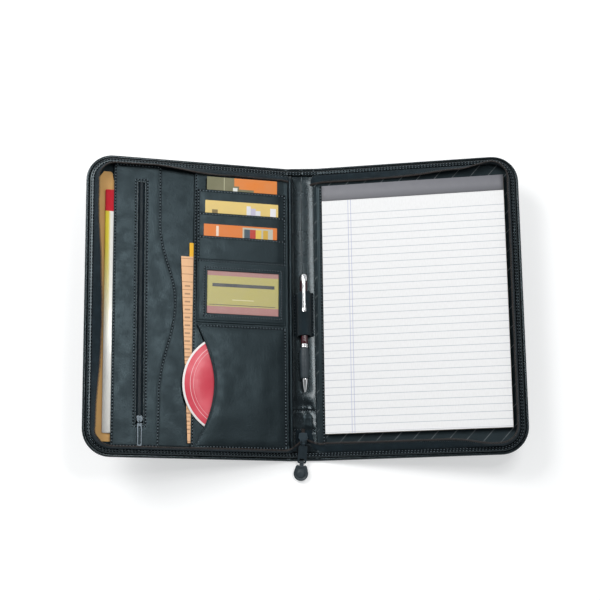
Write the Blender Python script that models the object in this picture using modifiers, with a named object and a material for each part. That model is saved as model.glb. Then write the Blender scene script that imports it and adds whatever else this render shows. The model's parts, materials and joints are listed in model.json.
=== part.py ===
"""Zip-around portfolio case, lying open on its spine with its writing pad, pen and papers in place.

Run it with: blender --background --python part.py
Sizes below are in millimetres. Scene units are metres, +Z is up, +Y runs along the spine and the
origin is the centre of the spine's underside. Each cover is modelled in the frame of its hinge:
local Y runs along the spine, local X lies in the cover and local Z (called height here) leaves its
inner face. The left cover fills local -X and the right cover fills local +X.
"""
import math

import bmesh
import bpy
from mathutils import Matrix, Vector

MM = 0.001

# Case
COVER_WIDTH = 241.4  # hinge line to outer edge
CASE_LENGTH = 354.0  # along the spine
CORNER_RADIUS = 32.0
HINGE_X = 17.9  # half the width of the spine
HINGE_Z = 3.0
LEFT_TILT = math.radians(16.8)  # how far each cover stands up from the table
RIGHT_TILT = math.radians(10.5)
GAP = 0.3  # clearance between pieces that touch

# Cover layers: height above the hinge line
SHELL = (-3.0, -1.6)
BOARD = (-1.3, 0.7)
LINING = (1.0, 1.7)
BINDING = (2.0, 2.8)
PIPING_RADIUS = 1.9
PIPING_HEIGHT = SHELL[0] + PIPING_RADIUS
COVER_START = 1.5  # the layers inside the fold start this far from the hinge line
LEATHER_START = 0.6
BOARD_START = 2.0
BOARD_INSET = 1.0  # the stiffener stops this far inside the leather
FIELD_LENGTH = 333.0  # length of the panels between the zip tapes

# Zip around three edges
TAPE_INSET = 9.5  # root of the tape from the case's outer edge
TAPE_THICKNESS = 0.8
TAPE_LOW = 2.0
LEFT_RISER = 6.9  # part of the tape that climbs past the pockets before it leans inwards
RIGHT_RISER = 1.8
TAPE_WIDTH = 10.2  # from root to free edge
COIL_RADIUS = 1.1
COIL_CENTRE = TAPE_WIDTH + GAP + COIL_RADIUS
TAPE_START = 6.0  # the tape's stiff part starts this far from the hinge line
# Lean of the tape from upright, in degrees, against its place from the spine's top round to its bottom
LEFT_LEANS = (
    (0.0, 65.0), (0.04, 62.0), (0.07, 45.0), (0.15, 15.0), (0.41, 10.0), (0.5, 25.0), (0.6, 10.0), (1.0, 8.0))
RIGHT_LEANS = (
    (0.0, 68.0), (0.07, 60.0), (0.15, 15.0), (0.19, 0.0), (0.5, 12.0), (0.8, 12.0), (0.93, 60.0), (1.0, 68.0))

# Left cover pockets and papers
FOLDER = (2.0, 2.6)
BOOKLET = (2.9, 4.1)
CURVED_PANEL = (4.4, 5.1)
ZIP_PANEL = (5.4, 6.2)
POCKET_TAPE = (4.4, 4.8)
POCKET_COIL_RADIUS = 0.6
NOTE = (6.6, 6.75)
RECEIPT = (7.0, 7.15)
CARD_PANEL = (7.45, 8.15)
CURVED_PANEL_EDGE = 159.0  # distances from the hinge line
ZIP_PANEL_EDGE = (210.0, 210.5)  # at the top and at the bottom
POCKET_TAPE_EDGES = (188.0, 167.0)
ROLL_RADIUS = 1.1
ROLL_Y = (157.0, -162.0)
FOLDER_EDGES = (-229.0, -12.0, -160.0, 144.8)  # left, right, bottom, top
FOLDER_TAB = (-212.6, -210.1, 155.8)  # the tab's corner, its foot and its top
FOLDER_CORNER = 10.0  # the folder's outer corners are cut back under the zip tape
BOOKLET_EDGES = (-219.5, -9.5, -150.6, 133.6)
NOTE_EDGES = (-120.3, -44.1, -1.2, 75.0)
RECEIPT_CORNERS = ((-52.0, -160.0), (-52.0, 58.4), (-130.4, 58.4), (-122.0, -160.0))
PANEL_SPLIT = 114.5  # left edge of the card panel from the hinge line
CARD_PITCH = 28.2  # from one card slot to the next
CARD_THICKNESS = 0.4
CARD_LENGTH = 54.0
STRIP_THICKNESS = 0.6
CARD_EDGES = ((-101.1, -15.4), (-103.1, -14.2), (-104.8, -15.9))  # left and right of each card
CARD_TOPS = (155.7, 126.7, 97.8)
SLOT_Y = 139.8  # mouth of the first card slot
SLOT_HEIGHT = 12.3  # underside of each card at its slot's mouth
SLOT_TILT = math.asin((CARD_THICKNESS + STRIP_THICKNESS + 2 * GAP) / CARD_PITCH)
STRIP_LEFT = PANEL_SPLIT - 1.5
STRIP_RIGHT = 4.6
STRIP_OVERLAP = 2.5  # each strip runs this far under the next
WINDOW = (-100.3, -14.2, -8.3, 41.9)
WINDOW_FRAME = (0.1, 0.8)  # above the underside of a strip
WINDOW_FILM = (0.1, 0.4)
WINDOW_POCKET_LOW = -19.5
ID_CARD_EDGES = (-102.0, -12.5, -10.2, 44.0)
ID_CARD_THICKNESS = 0.5
DISC_RADIUS = 60.0
DISC_HOLE = 7.5
DISC = (9.4, 10.6)
DISC_CENTRE = (69.0, -91.8)
DISC_POCKET = (10.9, 11.6)
DISC_POCKET_Y = (-164.0, -20.3)
DISC_MOUTH_DEPTH = 22.0  # how far the mouth curves in from the left
ZIP_SLOT_CENTRE = 177.5
ZIP_SLOT_HALF = 4.6
ZIP_SLOT_Y = (-140.0, 145.0)
POCKET_SLIDER_Y = -134.0
POCKET_SLIDER_HALF = (3.6, 4.0)  # half its width and half its length
POCKET_SLIDER_THICKNESS = 1.5
POCKET_PULL = (-2.8, 2.8, -26.0, 0.7)  # about its pivot
POCKET_PULL_HOLE = (-1.3, 1.3, -24.0, -3.0)
POCKET_PULL_PIVOT = (-5.2, 0.9)  # y and height from the slider's centre and underside
PULL_HALF_THICKNESS = 0.6

# Right cover: writing pad
PAD_PANEL = (2.0, 2.8)
PAD_PANEL_CORNER = 21.0
PAD_STRIP = (3.1, 3.9)
PAD_STRIP_RIGHT = 8.0
PAD_STRIP_Y = (-161.0, 153.0)
PAD_BACKING = (3.1, 5.0)
PAD_SHEETS = (5.3, 8.45)
TOP_SHEET = (8.7, 8.85)
PAD_HEADER = (8.75, 9.05)
PAGE_HINGE = 9.1
PAD_LEFT = 8.3
PAD_WIDTH = 215.9
PAD_LENGTH = 298.45
PAD_CENTRE_Y = 2.1
HEADER_LENGTH = 18.6

# Spine
SPINE_HALF = HINGE_X - 0.5
SPINE_SHELL = (0.0, 2.2)
SPINE_LINING = (2.5, 3.3)
SPINE_BINDING_TOP = 4.0
END_TAPE = (-9.0, 9.0, -157.0, -141.5)
END_TAPE_THICKNESS = 0.8
TONGUE = (-0.9, 10.4, -141.0, -122.3)
TONGUE_THICKNESS = 1.0
TONGUE_CORNER = 5.6

# Pen
PEN_X = 1.6
PEN_Z = 10.7
LOOP_RADIUS = 7.0
LOOP_WALL = 0.7
LOOP_Y = (-30.5, 22.5)
REFILL_BORE = 1.6
REFILL_BORE_TOP = 10.0
TIP_BORE = 1.0
CAP_RADIUS = 4.95
CAP_Y = (35.0, 40.0, 44.5)  # lower end, start of the dome, top
BARREL_RADIUS = 4.15
BARREL_Y = (-40.3, 34.7)
RING_RADIUS = 4.85
RING_Y = (-45.4, -41.2, -40.6)  # lower end, start of the chamfer, top
RING_CHAMFER = 0.35
GRIP_PROFILE = ((5.3, -45.7), (5.9, -50.0), (6.1, -56.0), (6.0, -64.0), (5.6, -74.0), (4.9, -81.7))  # radius, y
TIP_PROFILE = ((3.7, -82.0), (3.2, -88.0), (1.4, -97.4))
REFILL_PROFILE = ((0.0, 5.0), (1.2, 5.0), (1.2, -76.5), (0.6, -77.1), (0.6, -96.4), (0.0, -97.0))
CLIP_Y = (-3.0, 36.5, 39.9, 40.5)  # end, inside and outside of the bend, back
CLIP_THICKNESS = 1.2
CLIP_HALF_WIDTH = 2.3

# Main zip slider and its two-part pull
SLIDER_X = -1.2
SLIDER_Y = -149.0
SLIDER_HALF_WIDTH = 4.4
SLIDER_LENGTHS = (6.5, 1.0, -6.0)  # back, shoulders and point, from its centre
SLIDER_THICKNESS = 3.6
EAR_OFFSET = 3.1  # middle of each ear from the slider's centre line
EAR_THICKNESS = 1.2
EAR_REACH = (-1.4, -0.5)  # past the pivot and behind the slider's centre
EAR_RISE = (0.4, 1.3)  # above the slider's underside and above the pivot
PIN_RADIUS = 0.8
PIN_LENGTH = 6.6
PLATE_PIVOT = (-157.5, 8.6)  # y, z
PLATE_SLOPE = math.radians(8.5)
PLATE_LENGTH = 22.0
PLATE_HALF_WIDTH = 4.7
PLATE_HALF_THICKNESS = 0.6
PLATE_SHOULDER = -2.6
PLATE_TONGUE = (2.0, -1.3)  # half width and start of the part that carries the knuckle
PLATE_END = -PLATE_LENGTH - 0.8
PLATE_SLOT = (3.0, 1.6, 5.3)  # half width, then both ends above the plate's end
PLATE_CORNER = 2.0
KNUCKLE_RADIUS = 2.1
PLATE_KNUCKLE_LENGTH = 4.0
PLATE_BORE = 1.15
GRIP_SLOPE = math.radians(7.0)
GRIP_LENGTH = 21.0
GRIP_HALF_WIDTH = 8.5
GRIP_HALF_THICKNESS = 1.5
GRIP_SHOULDERS = ((4.6, -2.6), (6.6, -4.2))
GRIP_NECK = ((-2.6, -4.5, -1.2), (2.6, -0.6, 1.2))
GRIP_KNUCKLE_LENGTH = 5.2
GRIP_BORE = 1.35
BOSS_RADIUS = 4.9
BOSS_HEIGHT = 2.0

LEATHER = ((0.020, 0.026, 0.032), 0.45, 0.0)
LINING_CLOTH = ((0.015, 0.020, 0.024), 0.60, 0.0)
TAPE_CLOTH = ((0.022, 0.026, 0.030), 0.85, 0.0)
COIL_NYLON = ((0.050, 0.040, 0.036), 0.45, 0.0)
BOARD_GREY = ((0.30, 0.28, 0.25), 0.90, 0.0)
CHROME = ((0.80, 0.80, 0.80), 0.08, 1.0)
DARK_METAL = ((0.030, 0.035, 0.040), 0.35, 1.0)
RUBBER = ((0.035, 0.040, 0.045), 0.55, 0.0)
BURGUNDY = ((0.075, 0.008, 0.016), 0.15, 0.0)
PAPER = ((0.90, 0.90, 0.90), 0.80, 0.0)
GREY_PAPER = ((0.30, 0.30, 0.32), 0.70, 0.0)
MANILA = ((0.66, 0.36, 0.10), 0.75, 0.0)
BOOKLET_RED = ((0.70, 0.02, 0.05), 0.35, 0.0)
NOTE_AMBER = ((0.95, 0.55, 0.05), 0.80, 0.0)
RECEIPT_PEACH = ((0.92, 0.55, 0.30), 0.80, 0.0)
CARD_COLOURS = (((0.45, 0.36, 0.15), 0.4, 0.0), ((0.90, 0.68, 0.25), 0.4, 0.0), ((0.85, 0.28, 0.06), 0.4, 0.0))
ID_GOLD = ((0.60, 0.50, 0.20), 0.35, 0.0)
DISC_RED = ((0.62, 0.06, 0.10), 0.30, 0.0)
CLEAR_FILM = ((0.85, 0.85, 0.85), 0.05, 0.0)


def clear_scene():
    """Remove every object, so that the model starts from an empty scene."""
    for old in list(bpy.data.objects):
        bpy.data.objects.remove(old, do_unlink=True)


def new_collection(name):
    """A collection linked to the scene."""
    collection = bpy.data.collections.new(name)
    bpy.context.scene.collection.children.link(collection)
    return collection


clear_scene()
PARTS = new_collection("portfolio_case")
CUTTERS = new_collection("portfolio_case_cutters")


def finish(name, look):
    """A Principled material for one piece."""
    colour, roughness, metallic = look
    material = bpy.data.materials.new(name)
    material.use_nodes = True
    shader = material.node_tree.nodes["Principled BSDF"]
    shader.inputs["Base Color"].default_value = (*colour, 1.0)
    shader.inputs["Roughness"].default_value = roughness
    shader.inputs["Metallic"].default_value = metallic
    return material


def frame(name, location, rotation=(0.0, 0.0, 0.0), parent=None):
    """An empty that carries the pieces modelled in its axes; location is in millimetres."""
    empty = bpy.data.objects.new(name, None)
    empty.location = Vector(location) * MM
    empty.rotation_euler = rotation
    empty.parent = parent
    PARTS.objects.link(empty)
    return empty


def place(name, data, look, parent, location=(0.0, 0.0, 0.0), rotation=(0.0, 0.0, 0.0)):
    """A named piece with its material, placed in its parent frame."""
    piece = bpy.data.objects.new(name, data)
    piece.location = Vector(location) * MM
    piece.rotation_euler = rotation
    piece.parent = parent
    piece.data.materials.append(finish(name, look))
    PARTS.objects.link(piece)
    return piece


def arc(centre, radius, start, end, steps):
    """Points on an arc, angles in degrees."""
    angles = [math.radians(start + (end - start) * i / steps) for i in range(steps + 1)]
    return [(centre[0] + radius * math.cos(t), centre[1] + radius * math.sin(t)) for t in angles]


def rectangle(x0, x1, y0, y1, radii=(0.0, 0.0, 0.0, 0.0), steps=5):
    """A closed outline; radii are for the corners x1y1, x0y1, x0y0 and x1y0."""
    corners = ((x1, y1, -1, -1, 0), (x0, y1, 1, -1, 90), (x0, y0, 1, 1, 180), (x1, y0, -1, 1, 270))
    outline = []
    for (x, y, inward_x, inward_y, start), radius in zip(corners, radii):
        if radius == 0:
            outline.append((x, y))
        else:
            centre = (x + inward_x * radius, y + inward_y * radius)
            outline += arc(centre, radius, start, start + 90, steps)
    return outline


def plate(name, outlines, heights, parent, look, origin=(0.0, 0.0), tilt=0.0):
    """A flat sheet between two heights. The first outline is its edge and the others are holes.

    origin is the point that the sheet is turned about by tilt, in the outlines' own coordinates.
    """
    low, high = heights
    curve = bpy.data.curves.new(name, "CURVE")
    curve.dimensions = "2D"
    curve.fill_mode = "BOTH"
    curve.extrude = (high - low) / 2 * MM
    for outline in outlines:
        spline = curve.splines.new("POLY")
        spline.points.add(len(outline) - 1)
        for point, (x, y) in zip(spline.points, outline):
            point.co = ((x - origin[0]) * MM, (y - origin[1]) * MM, 0.0, 1.0)
        spline.use_cyclic_u = True
    middle = (high + low) / 2
    return place(name, curve, look, parent, (*origin, middle), (tilt, 0.0, 0.0))


def tube(name, points, radius, parent, look, sides=2):
    """A round cord through points, with filled ends."""
    curve = bpy.data.curves.new(name, "CURVE")
    curve.dimensions = "3D"
    curve.bevel_depth = radius * MM
    curve.bevel_resolution = sides
    curve.use_fill_caps = True
    spline = curve.splines.new("POLY")
    spline.points.add(len(points) - 1)
    for point, place_mm in zip(spline.points, points):
        point.co = (*(Vector(place_mm) * MM), 1.0)
    return place(name, curve, look, parent)


def turned(name, profile, parent, look, location, closed=False, steps=24):
    """A piece turned about a line along Y. The profile is (radius, y) down its outside."""
    mesh = bpy.data.meshes.new(name)
    mesh_builder = bmesh.new()
    verts = [mesh_builder.verts.new((radius * MM, 0.0, y * MM)) for radius, y in profile]
    for first, second in zip(verts, verts[1:]):
        mesh_builder.edges.new((first, second))
    if closed:
        mesh_builder.edges.new((verts[-1], verts[0]))
    mesh_builder.to_mesh(mesh)
    mesh_builder.free()
    piece = place(name, mesh, look, parent, location, (-math.pi / 2, 0.0, 0.0))
    screw = piece.modifiers.new("turn", "SCREW")
    screw.angle = 2 * math.pi
    screw.steps = steps
    screw.render_steps = steps
    screw.use_merge_vertices = True
    screw.merge_threshold = 0.00001
    screw.use_smooth_shade = True
    return piece


def solid(name, make, matrix=None):
    """A mesh made by one of bmesh's own shapes."""
    mesh = bpy.data.meshes.new(name)
    mesh_builder = bmesh.new()
    make(mesh_builder)
    if matrix is not None:
        mesh_builder.transform(matrix)
    mesh_builder.to_mesh(mesh)
    mesh_builder.free()
    return mesh


def box_mesh(name, low, high):
    """A box between two corners."""
    low, high = Vector(low) * MM, Vector(high) * MM
    matrix = Matrix.LocRotScale((low + high) / 2, None, high - low)
    return solid(name, lambda shape: bmesh.ops.create_cube(shape, size=1.0), matrix)


def rod_mesh(name, radius, length, axis, segments=16):
    """A rod centred on the origin, along X or Z."""
    turn = Matrix.Rotation(math.pi / 2, 4, "Y") if axis == "X" else Matrix.Identity(4)
    size = {"radius1": radius * MM, "radius2": radius * MM, "depth": length * MM, "segments": segments}
    return solid(name, lambda shape: bmesh.ops.create_cone(shape, cap_ends=True, **size), turn)


def box(name, low, high, parent, look, bevel=0.0):
    """A box between two corners in its parent frame, with rounded edges."""
    piece = place(name, box_mesh(name, low, high), look, parent)
    if bevel:
        rounding = piece.modifiers.new("rounded_edges", "BEVEL")
        rounding.width = bevel * MM
        rounding.segments = 2
    return piece


def loft(name, sections, parent, look):
    """A bar through a row of sections, each a ring of the same number of points."""
    mesh_builder = bmesh.new()
    rings = [[mesh_builder.verts.new(Vector(p) * MM) for p in section] for section in sections]
    for ring, following in zip(rings, rings[1:]):
        for i in range(len(ring)):
            j = (i + 1) % len(ring)
            mesh_builder.faces.new((ring[i], ring[j], following[j], following[i]))
    mesh_builder.faces.new(reversed(rings[0]))
    mesh_builder.faces.new(rings[-1])
    bmesh.ops.recalc_face_normals(mesh_builder, faces=mesh_builder.faces)
    mesh = bpy.data.meshes.new(name)
    mesh_builder.to_mesh(mesh)
    mesh_builder.free()
    return place(name, mesh, look, parent)


def combine(piece, tool, operation="UNION"):
    """Join a helper to a piece or cut it away, leaving the helper as a hidden guide."""
    PARTS.objects.unlink(tool)
    CUTTERS.objects.link(tool)
    tool.hide_render = True
    tool.display_type = "WIRE"
    boolean = piece.modifiers.new(tool.name, "BOOLEAN")
    boolean.operation = operation
    boolean.object = tool
    boolean.solver = "EXACT"


def edge_stations(side, inset, start, steps=6):
    """Points round a cover's three free edges, from the top of the spine to its bottom.

    Each is (x, y) and the direction that points out of the case; side is -1 on the left cover.
    """
    radius = CORNER_RADIUS - inset
    outer = COVER_WIDTH - inset
    half = CASE_LENGTH / 2 - inset
    runs = 5
    stations = [((start + (outer - radius - start) * i / runs, half), 90.0) for i in range(runs)]
    centre = (outer - radius, half - radius)
    stations += [(p, 90 - 90 * i / steps) for i, p in enumerate(arc(centre, radius, 90, 0, steps))]
    stations += [((outer, (half - radius) * (1 - 2 * i / runs)), 0.0) for i in range(1, runs)]
    centre = (outer - radius, radius - half)
    stations += [(p, -90 * i / steps) for i, p in enumerate(arc(centre, radius, 0, -90, steps))]
    stations += [((start + (outer - radius - start) * i / runs, -half), -90.0) for i in range(runs - 1, -1, -1)]
    result = []
    for (x, y), angle in stations:
        out = (side * math.cos(math.radians(angle)), math.sin(math.radians(angle)))
        result.append(((side * x, y), out))
    return result


def between(table, t):
    """Straight-line reading of a short table of (place, value) pairs."""
    for (t0, v0), (t1, v1) in zip(table, table[1:]):
        if t <= t1:
            return v0 + (v1 - v0) * (t - t0) / (t1 - t0)
    return table[-1][1]


def tape_point(station, lean, riser, along, offset):
    """A point of the zip tape's section: along runs from its root, offset is across its thickness."""
    (x, y), (out_x, out_y) = station
    level = min(along, riser)
    rest = max(along - riser, 0.0)
    tilt = lean if along > riser else 0.0
    inward = rest * math.sin(tilt) - offset * math.cos(tilt)
    height = TAPE_LOW + level + rest * math.cos(tilt) + offset * math.sin(tilt)
    return (x - out_x * inward, y - out_y * inward, height)


def zip_half(prefix, side, parent, leans, riser):
    """One half of the zip round a cover: the tape that stands on its edge, and the coil on the tape.

    leans gives how far the tape leans inwards along its run, in degrees from upright.
    """
    stations = edge_stations(side, TAPE_INSET, TAPE_START)
    count = len(stations) - 1
    half = TAPE_THICKNESS / 2
    sections = []
    coil = []
    for i, station in enumerate(stations):
        lean = math.radians(between(leans, i / count))
        knee = max(riser, 0.01)
        ring = [tape_point(station, lean, riser, 0.0, -half)]
        ring += [tape_point(station, lean, riser, knee, -half)]
        ring += [tape_point(station, lean, riser, TAPE_WIDTH, -half)]
        ring += [tape_point(station, lean, riser, TAPE_WIDTH, half)]
        ring += [tape_point(station, lean, riser, knee + half, half)]
        ring += [tape_point(station, lean, riser, 0.0, half)]
        sections.append(ring)
        coil.append(tape_point(station, lean, riser, COIL_CENTRE, 0.0))
    loft(prefix + "_zip_tape", sections, parent, TAPE_CLOTH)
    tube(prefix + "_zip_coil", coil, COIL_RADIUS, parent, COIL_NYLON, sides=1)


def cover_outline(side, inset, start):
    """The outline of a cover's layer: square at the fold and rounded at the outer corners."""
    radius = CORNER_RADIUS - inset
    outer = side * (COVER_WIDTH - inset)
    half = CASE_LENGTH / 2 - inset
    radii = (0.0, radius, radius, 0.0) if side < 0 else (radius, 0.0, 0.0, radius)
    x0, x1 = sorted((side * start, outer))
    return rectangle(x0, x1, -half, half, radii, steps=7)


def binding_outline(side):
    """The stitched border between the piping and the zip tape, open at the fold."""
    outer = edge_stations(side, 2 * PIPING_RADIUS + GAP, COVER_START)
    inner = edge_stations(side, TAPE_INSET - TAPE_THICKNESS / 2 - GAP, COVER_START)
    return [p for p, _ in outer] + [p for p, _ in reversed(inner)]


def cover(prefix, side, parent):
    """The layers that both covers share: leather, stiffener, lining, bound edge and piping."""
    layer_inset = 2 * PIPING_RADIUS + GAP
    plate(prefix + "_cover_leather", [cover_outline(side, layer_inset, LEATHER_START)], SHELL, parent, LEATHER)
    board = cover_outline(side, layer_inset + BOARD_INSET, BOARD_START)
    plate(prefix + "_stiffener", [board], BOARD, parent, BOARD_GREY)
    plate(prefix + "_lining", [cover_outline(side, layer_inset, COVER_START)], LINING, parent, LINING_CLOTH)
    plate(prefix + "_edge_binding", [binding_outline(side)], BINDING, parent, LEATHER)
    line = [(*p, PIPING_HEIGHT) for p, _ in edge_stations(side, PIPING_RADIUS, BOARD_START)]
    tube(prefix + "_piping", line, PIPING_RADIUS, parent, LEATHER)


def curved_edge():
    """The zip panel's inner edge, as (distance from the hinge, y) from the top to the bottom."""
    top, bottom = FIELD_LENGTH / 2, -FIELD_LENGTH / 2
    straight, bulge = 153.5, 18.5
    high, low, peak = 95.0, -105.0, 3.0
    points = [(straight, top)]
    for i in range(17):
        y = high + (low - high) * i / 16
        span = (high - peak) if y > peak else (peak - low)
        swell = 0.5 * (1 + math.cos(math.pi * (y - peak) / span))
        points.append((straight - bulge * swell, y))
    return points + [(straight + 1.0, bottom)]


def left_pockets(parent):
    """The left cover's pockets, from the lining up."""
    half = FIELD_LENGTH / 2
    curved = rectangle(-CURVED_PANEL_EDGE, -COVER_START, -half, half)
    plate("curved_pocket_panel", [curved], CURVED_PANEL, parent, LEATHER)
    zip_edge = [(-a, y) for a, y in curved_edge()]
    outer_edge = [(-ZIP_PANEL_EDGE[1], -half), (-ZIP_PANEL_EDGE[0], half)]
    slot = rectangle(-ZIP_SLOT_CENTRE - ZIP_SLOT_HALF, -ZIP_SLOT_CENTRE + ZIP_SLOT_HALF, *ZIP_SLOT_Y)
    plate("zip_pocket_panel", [zip_edge + outer_edge, slot], ZIP_PANEL, parent, LEATHER)
    left, right = POCKET_TAPE_EDGES
    tape = rectangle(-left, -right, ZIP_SLOT_Y[0] - 5, ZIP_SLOT_Y[1] + 5)
    plate("pocket_zip_tape", [tape], POCKET_TAPE, parent, TAPE_CLOTH)
    coil_height = POCKET_TAPE[1] + GAP + POCKET_COIL_RADIUS
    coil = [(-ZIP_SLOT_CENTRE, y, coil_height) for y in (ZIP_SLOT_Y[1] - 1, ZIP_SLOT_Y[0] + 1)]
    tube("pocket_zip_coil", coil, POCKET_COIL_RADIUS, parent, COIL_NYLON, sides=1)
    plate("card_panel", [rectangle(-PANEL_SPLIT, -COVER_START, -half, half - 0.5)], CARD_PANEL, parent, LEATHER)
    roll = [(-COVER_START - GAP - 1.0, y, CARD_PANEL[1] + GAP + ROLL_RADIUS) for y in ROLL_Y]
    tube("card_panel_roll", roll, ROLL_RADIUS, parent, LEATHER)


def slot_plane(slot):
    """The y of a card slot's mouth, counted down from the first."""
    return SLOT_Y - slot * CARD_PITCH


def card_slots(parent):
    """Three slot strips and the window pocket, overlapping like shingles."""
    low = SLOT_HEIGHT + CARD_THICKNESS + GAP
    for slot in range(3):
        y = slot_plane(slot)
        outline = rectangle(-STRIP_LEFT, -STRIP_RIGHT, y - CARD_PITCH - STRIP_OVERLAP, y)
        heights = (low, low + STRIP_THICKNESS)
        plate(f"card_slot_{slot + 1}", [outline], heights, parent, LEATHER, (0.0, y), SLOT_TILT)
    y = slot_plane(3)
    outline = rectangle(-STRIP_LEFT, -STRIP_RIGHT, WINDOW_POCKET_LOW, y)
    heights = [low + height for height in WINDOW_FRAME]
    plate("id_window_frame", [outline, rectangle(*WINDOW)], heights, parent, LEATHER, (0.0, y), SLOT_TILT)
    left, right, bottom, top = WINDOW
    film = rectangle(left + GAP, right - GAP, bottom + GAP, top - GAP)
    heights = [low + height for height in WINDOW_FILM]
    plate("id_window_film", [film], heights, parent, CLEAR_FILM, (0.0, y), SLOT_TILT)


def disc_pocket(parent):
    """The pocket over the disc, with its mouth curved in from the left."""
    bottom, top = DISC_POCKET_Y
    start = top - 1.7
    steps = 14
    mouth = []
    for i in range(1, steps):
        t = i / steps
        mouth.append((-STRIP_LEFT + DISC_MOUTH_DEPTH * math.sin(math.pi * t) ** 0.9, start + (bottom - start) * t))
    outline = [(-STRIP_RIGHT, top), (-STRIP_LEFT, top)] + mouth + [(-STRIP_LEFT, bottom), (-STRIP_RIGHT, bottom)]
    plate("disc_pocket", [outline], DISC_POCKET, parent, LEATHER)


def left_papers(parent):
    """What the left cover's pockets hold."""
    left, right, bottom, top = FOLDER_EDGES
    tab_corner, tab_foot, tab_top = FOLDER_TAB
    cut = FOLDER_CORNER
    tab = [(right, bottom), (right, top), (tab_foot, top), (tab_corner, tab_top), (left + cut, tab_top)]
    tab += [(left, tab_top - 2 * cut), (left, bottom + 2 * cut), (left + cut, bottom)]
    plate("manila_folder", [tab], FOLDER, parent, MANILA)
    plate("booklet", [rectangle(*BOOKLET_EDGES)], BOOKLET, parent, BOOKLET_RED)
    plate("amber_note", [rectangle(*NOTE_EDGES)], NOTE, parent, NOTE_AMBER)
    plate("receipt", [RECEIPT_CORNERS], RECEIPT, parent, RECEIPT_PEACH)
    heights = (SLOT_HEIGHT, SLOT_HEIGHT + CARD_THICKNESS)
    for slot, ((left, right), top) in enumerate(zip(CARD_EDGES, CARD_TOPS)):
        outline = rectangle(left, right, top - CARD_LENGTH, top)
        name = f"card_{slot + 1}"
        plate(name, [outline], heights, parent, CARD_COLOURS[slot], (0.0, slot_plane(slot)), SLOT_TILT)
    heights = (SLOT_HEIGHT, SLOT_HEIGHT + ID_CARD_THICKNESS)
    plate("id_card", [rectangle(*ID_CARD_EDGES)], heights, parent, ID_GOLD, (0.0, slot_plane(3)), SLOT_TILT)
    centre = (-DISC_CENTRE[0], DISC_CENTRE[1])
    rim = arc(centre, DISC_RADIUS, 0, 360, 48)[:-1]
    hole = arc(centre, DISC_HOLE, 0, 360, 16)[:-1]
    plate("disc", [rim, hole], DISC, parent, DISC_RED)


def pocket_zip_pull(parent):
    """The slider of the inner pocket's zip, and its pull."""
    base = POCKET_TAPE[1] + 2 * (GAP + POCKET_COIL_RADIUS)
    half_width, half_length = POCKET_SLIDER_HALF
    y = POCKET_SLIDER_Y
    low = (-ZIP_SLOT_CENTRE - half_width, y - half_length, base)
    high = (-ZIP_SLOT_CENTRE + half_width, y + half_length, base + POCKET_SLIDER_THICKNESS)
    box("pocket_zip_slider", low, high, parent, DARK_METAL, bevel=0.4)
    pivot_y, pivot_z = POCKET_PULL_PIVOT
    pivot = frame("pocket_zip_pull_axis", (-ZIP_SLOT_CENTRE, y + pivot_y, base + pivot_z), parent=parent)
    outline = rectangle(*POCKET_PULL, (1.5, 1.5, 2.7, 2.7))
    hole = rectangle(*POCKET_PULL_HOLE, (1.2, 1.2, 1.2, 1.2))
    heights = (-PULL_HALF_THICKNESS, PULL_HALF_THICKNESS)
    plate("pocket_zip_pull", [outline, hole], heights, pivot, DARK_METAL)


def writing_pad(parent):
    """The pad in the right cover: panel, backing card, sheets, grey header and the loose top sheet."""
    half = FIELD_LENGTH / 2
    right = COVER_WIDTH - TAPE_INSET - 1.0
    panel = rectangle(COVER_START, right, -half, half, (PAD_PANEL_CORNER, 0.0, 0.0, PAD_PANEL_CORNER))
    plate("pad_panel", [panel], PAD_PANEL, parent, LINING_CLOTH)
    strip = rectangle(COVER_START, PAD_STRIP_RIGHT, *PAD_STRIP_Y)
    plate("pad_panel_strip", [strip], PAD_STRIP, parent, LEATHER)
    x0, x1 = PAD_LEFT, PAD_LEFT + PAD_WIDTH
    y0, y1 = PAD_CENTRE_Y - PAD_LENGTH / 2, PAD_CENTRE_Y + PAD_LENGTH / 2
    plate("pad_backing", [rectangle(x0, x1, y0, y1)], PAD_BACKING, parent, BOARD_GREY)
    plate("pad_sheets", [rectangle(x0, x1, y0, y1)], PAD_SHEETS, parent, PAPER)
    fold = y1 - HEADER_LENGTH
    plate("pad_header", [rectangle(x0, x1, fold, y1)], PAD_HEADER, parent, GREY_PAPER)
    page = frame("top_sheet_axis", (0.0, fold - GAP, PAGE_HINGE), parent=parent)
    sheet_heights = [height - PAGE_HINGE for height in TOP_SHEET]
    plate("top_sheet", [rectangle(x0, x1, y0 - fold + GAP, 0.0)], sheet_heights, page, PAPER)


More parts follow.
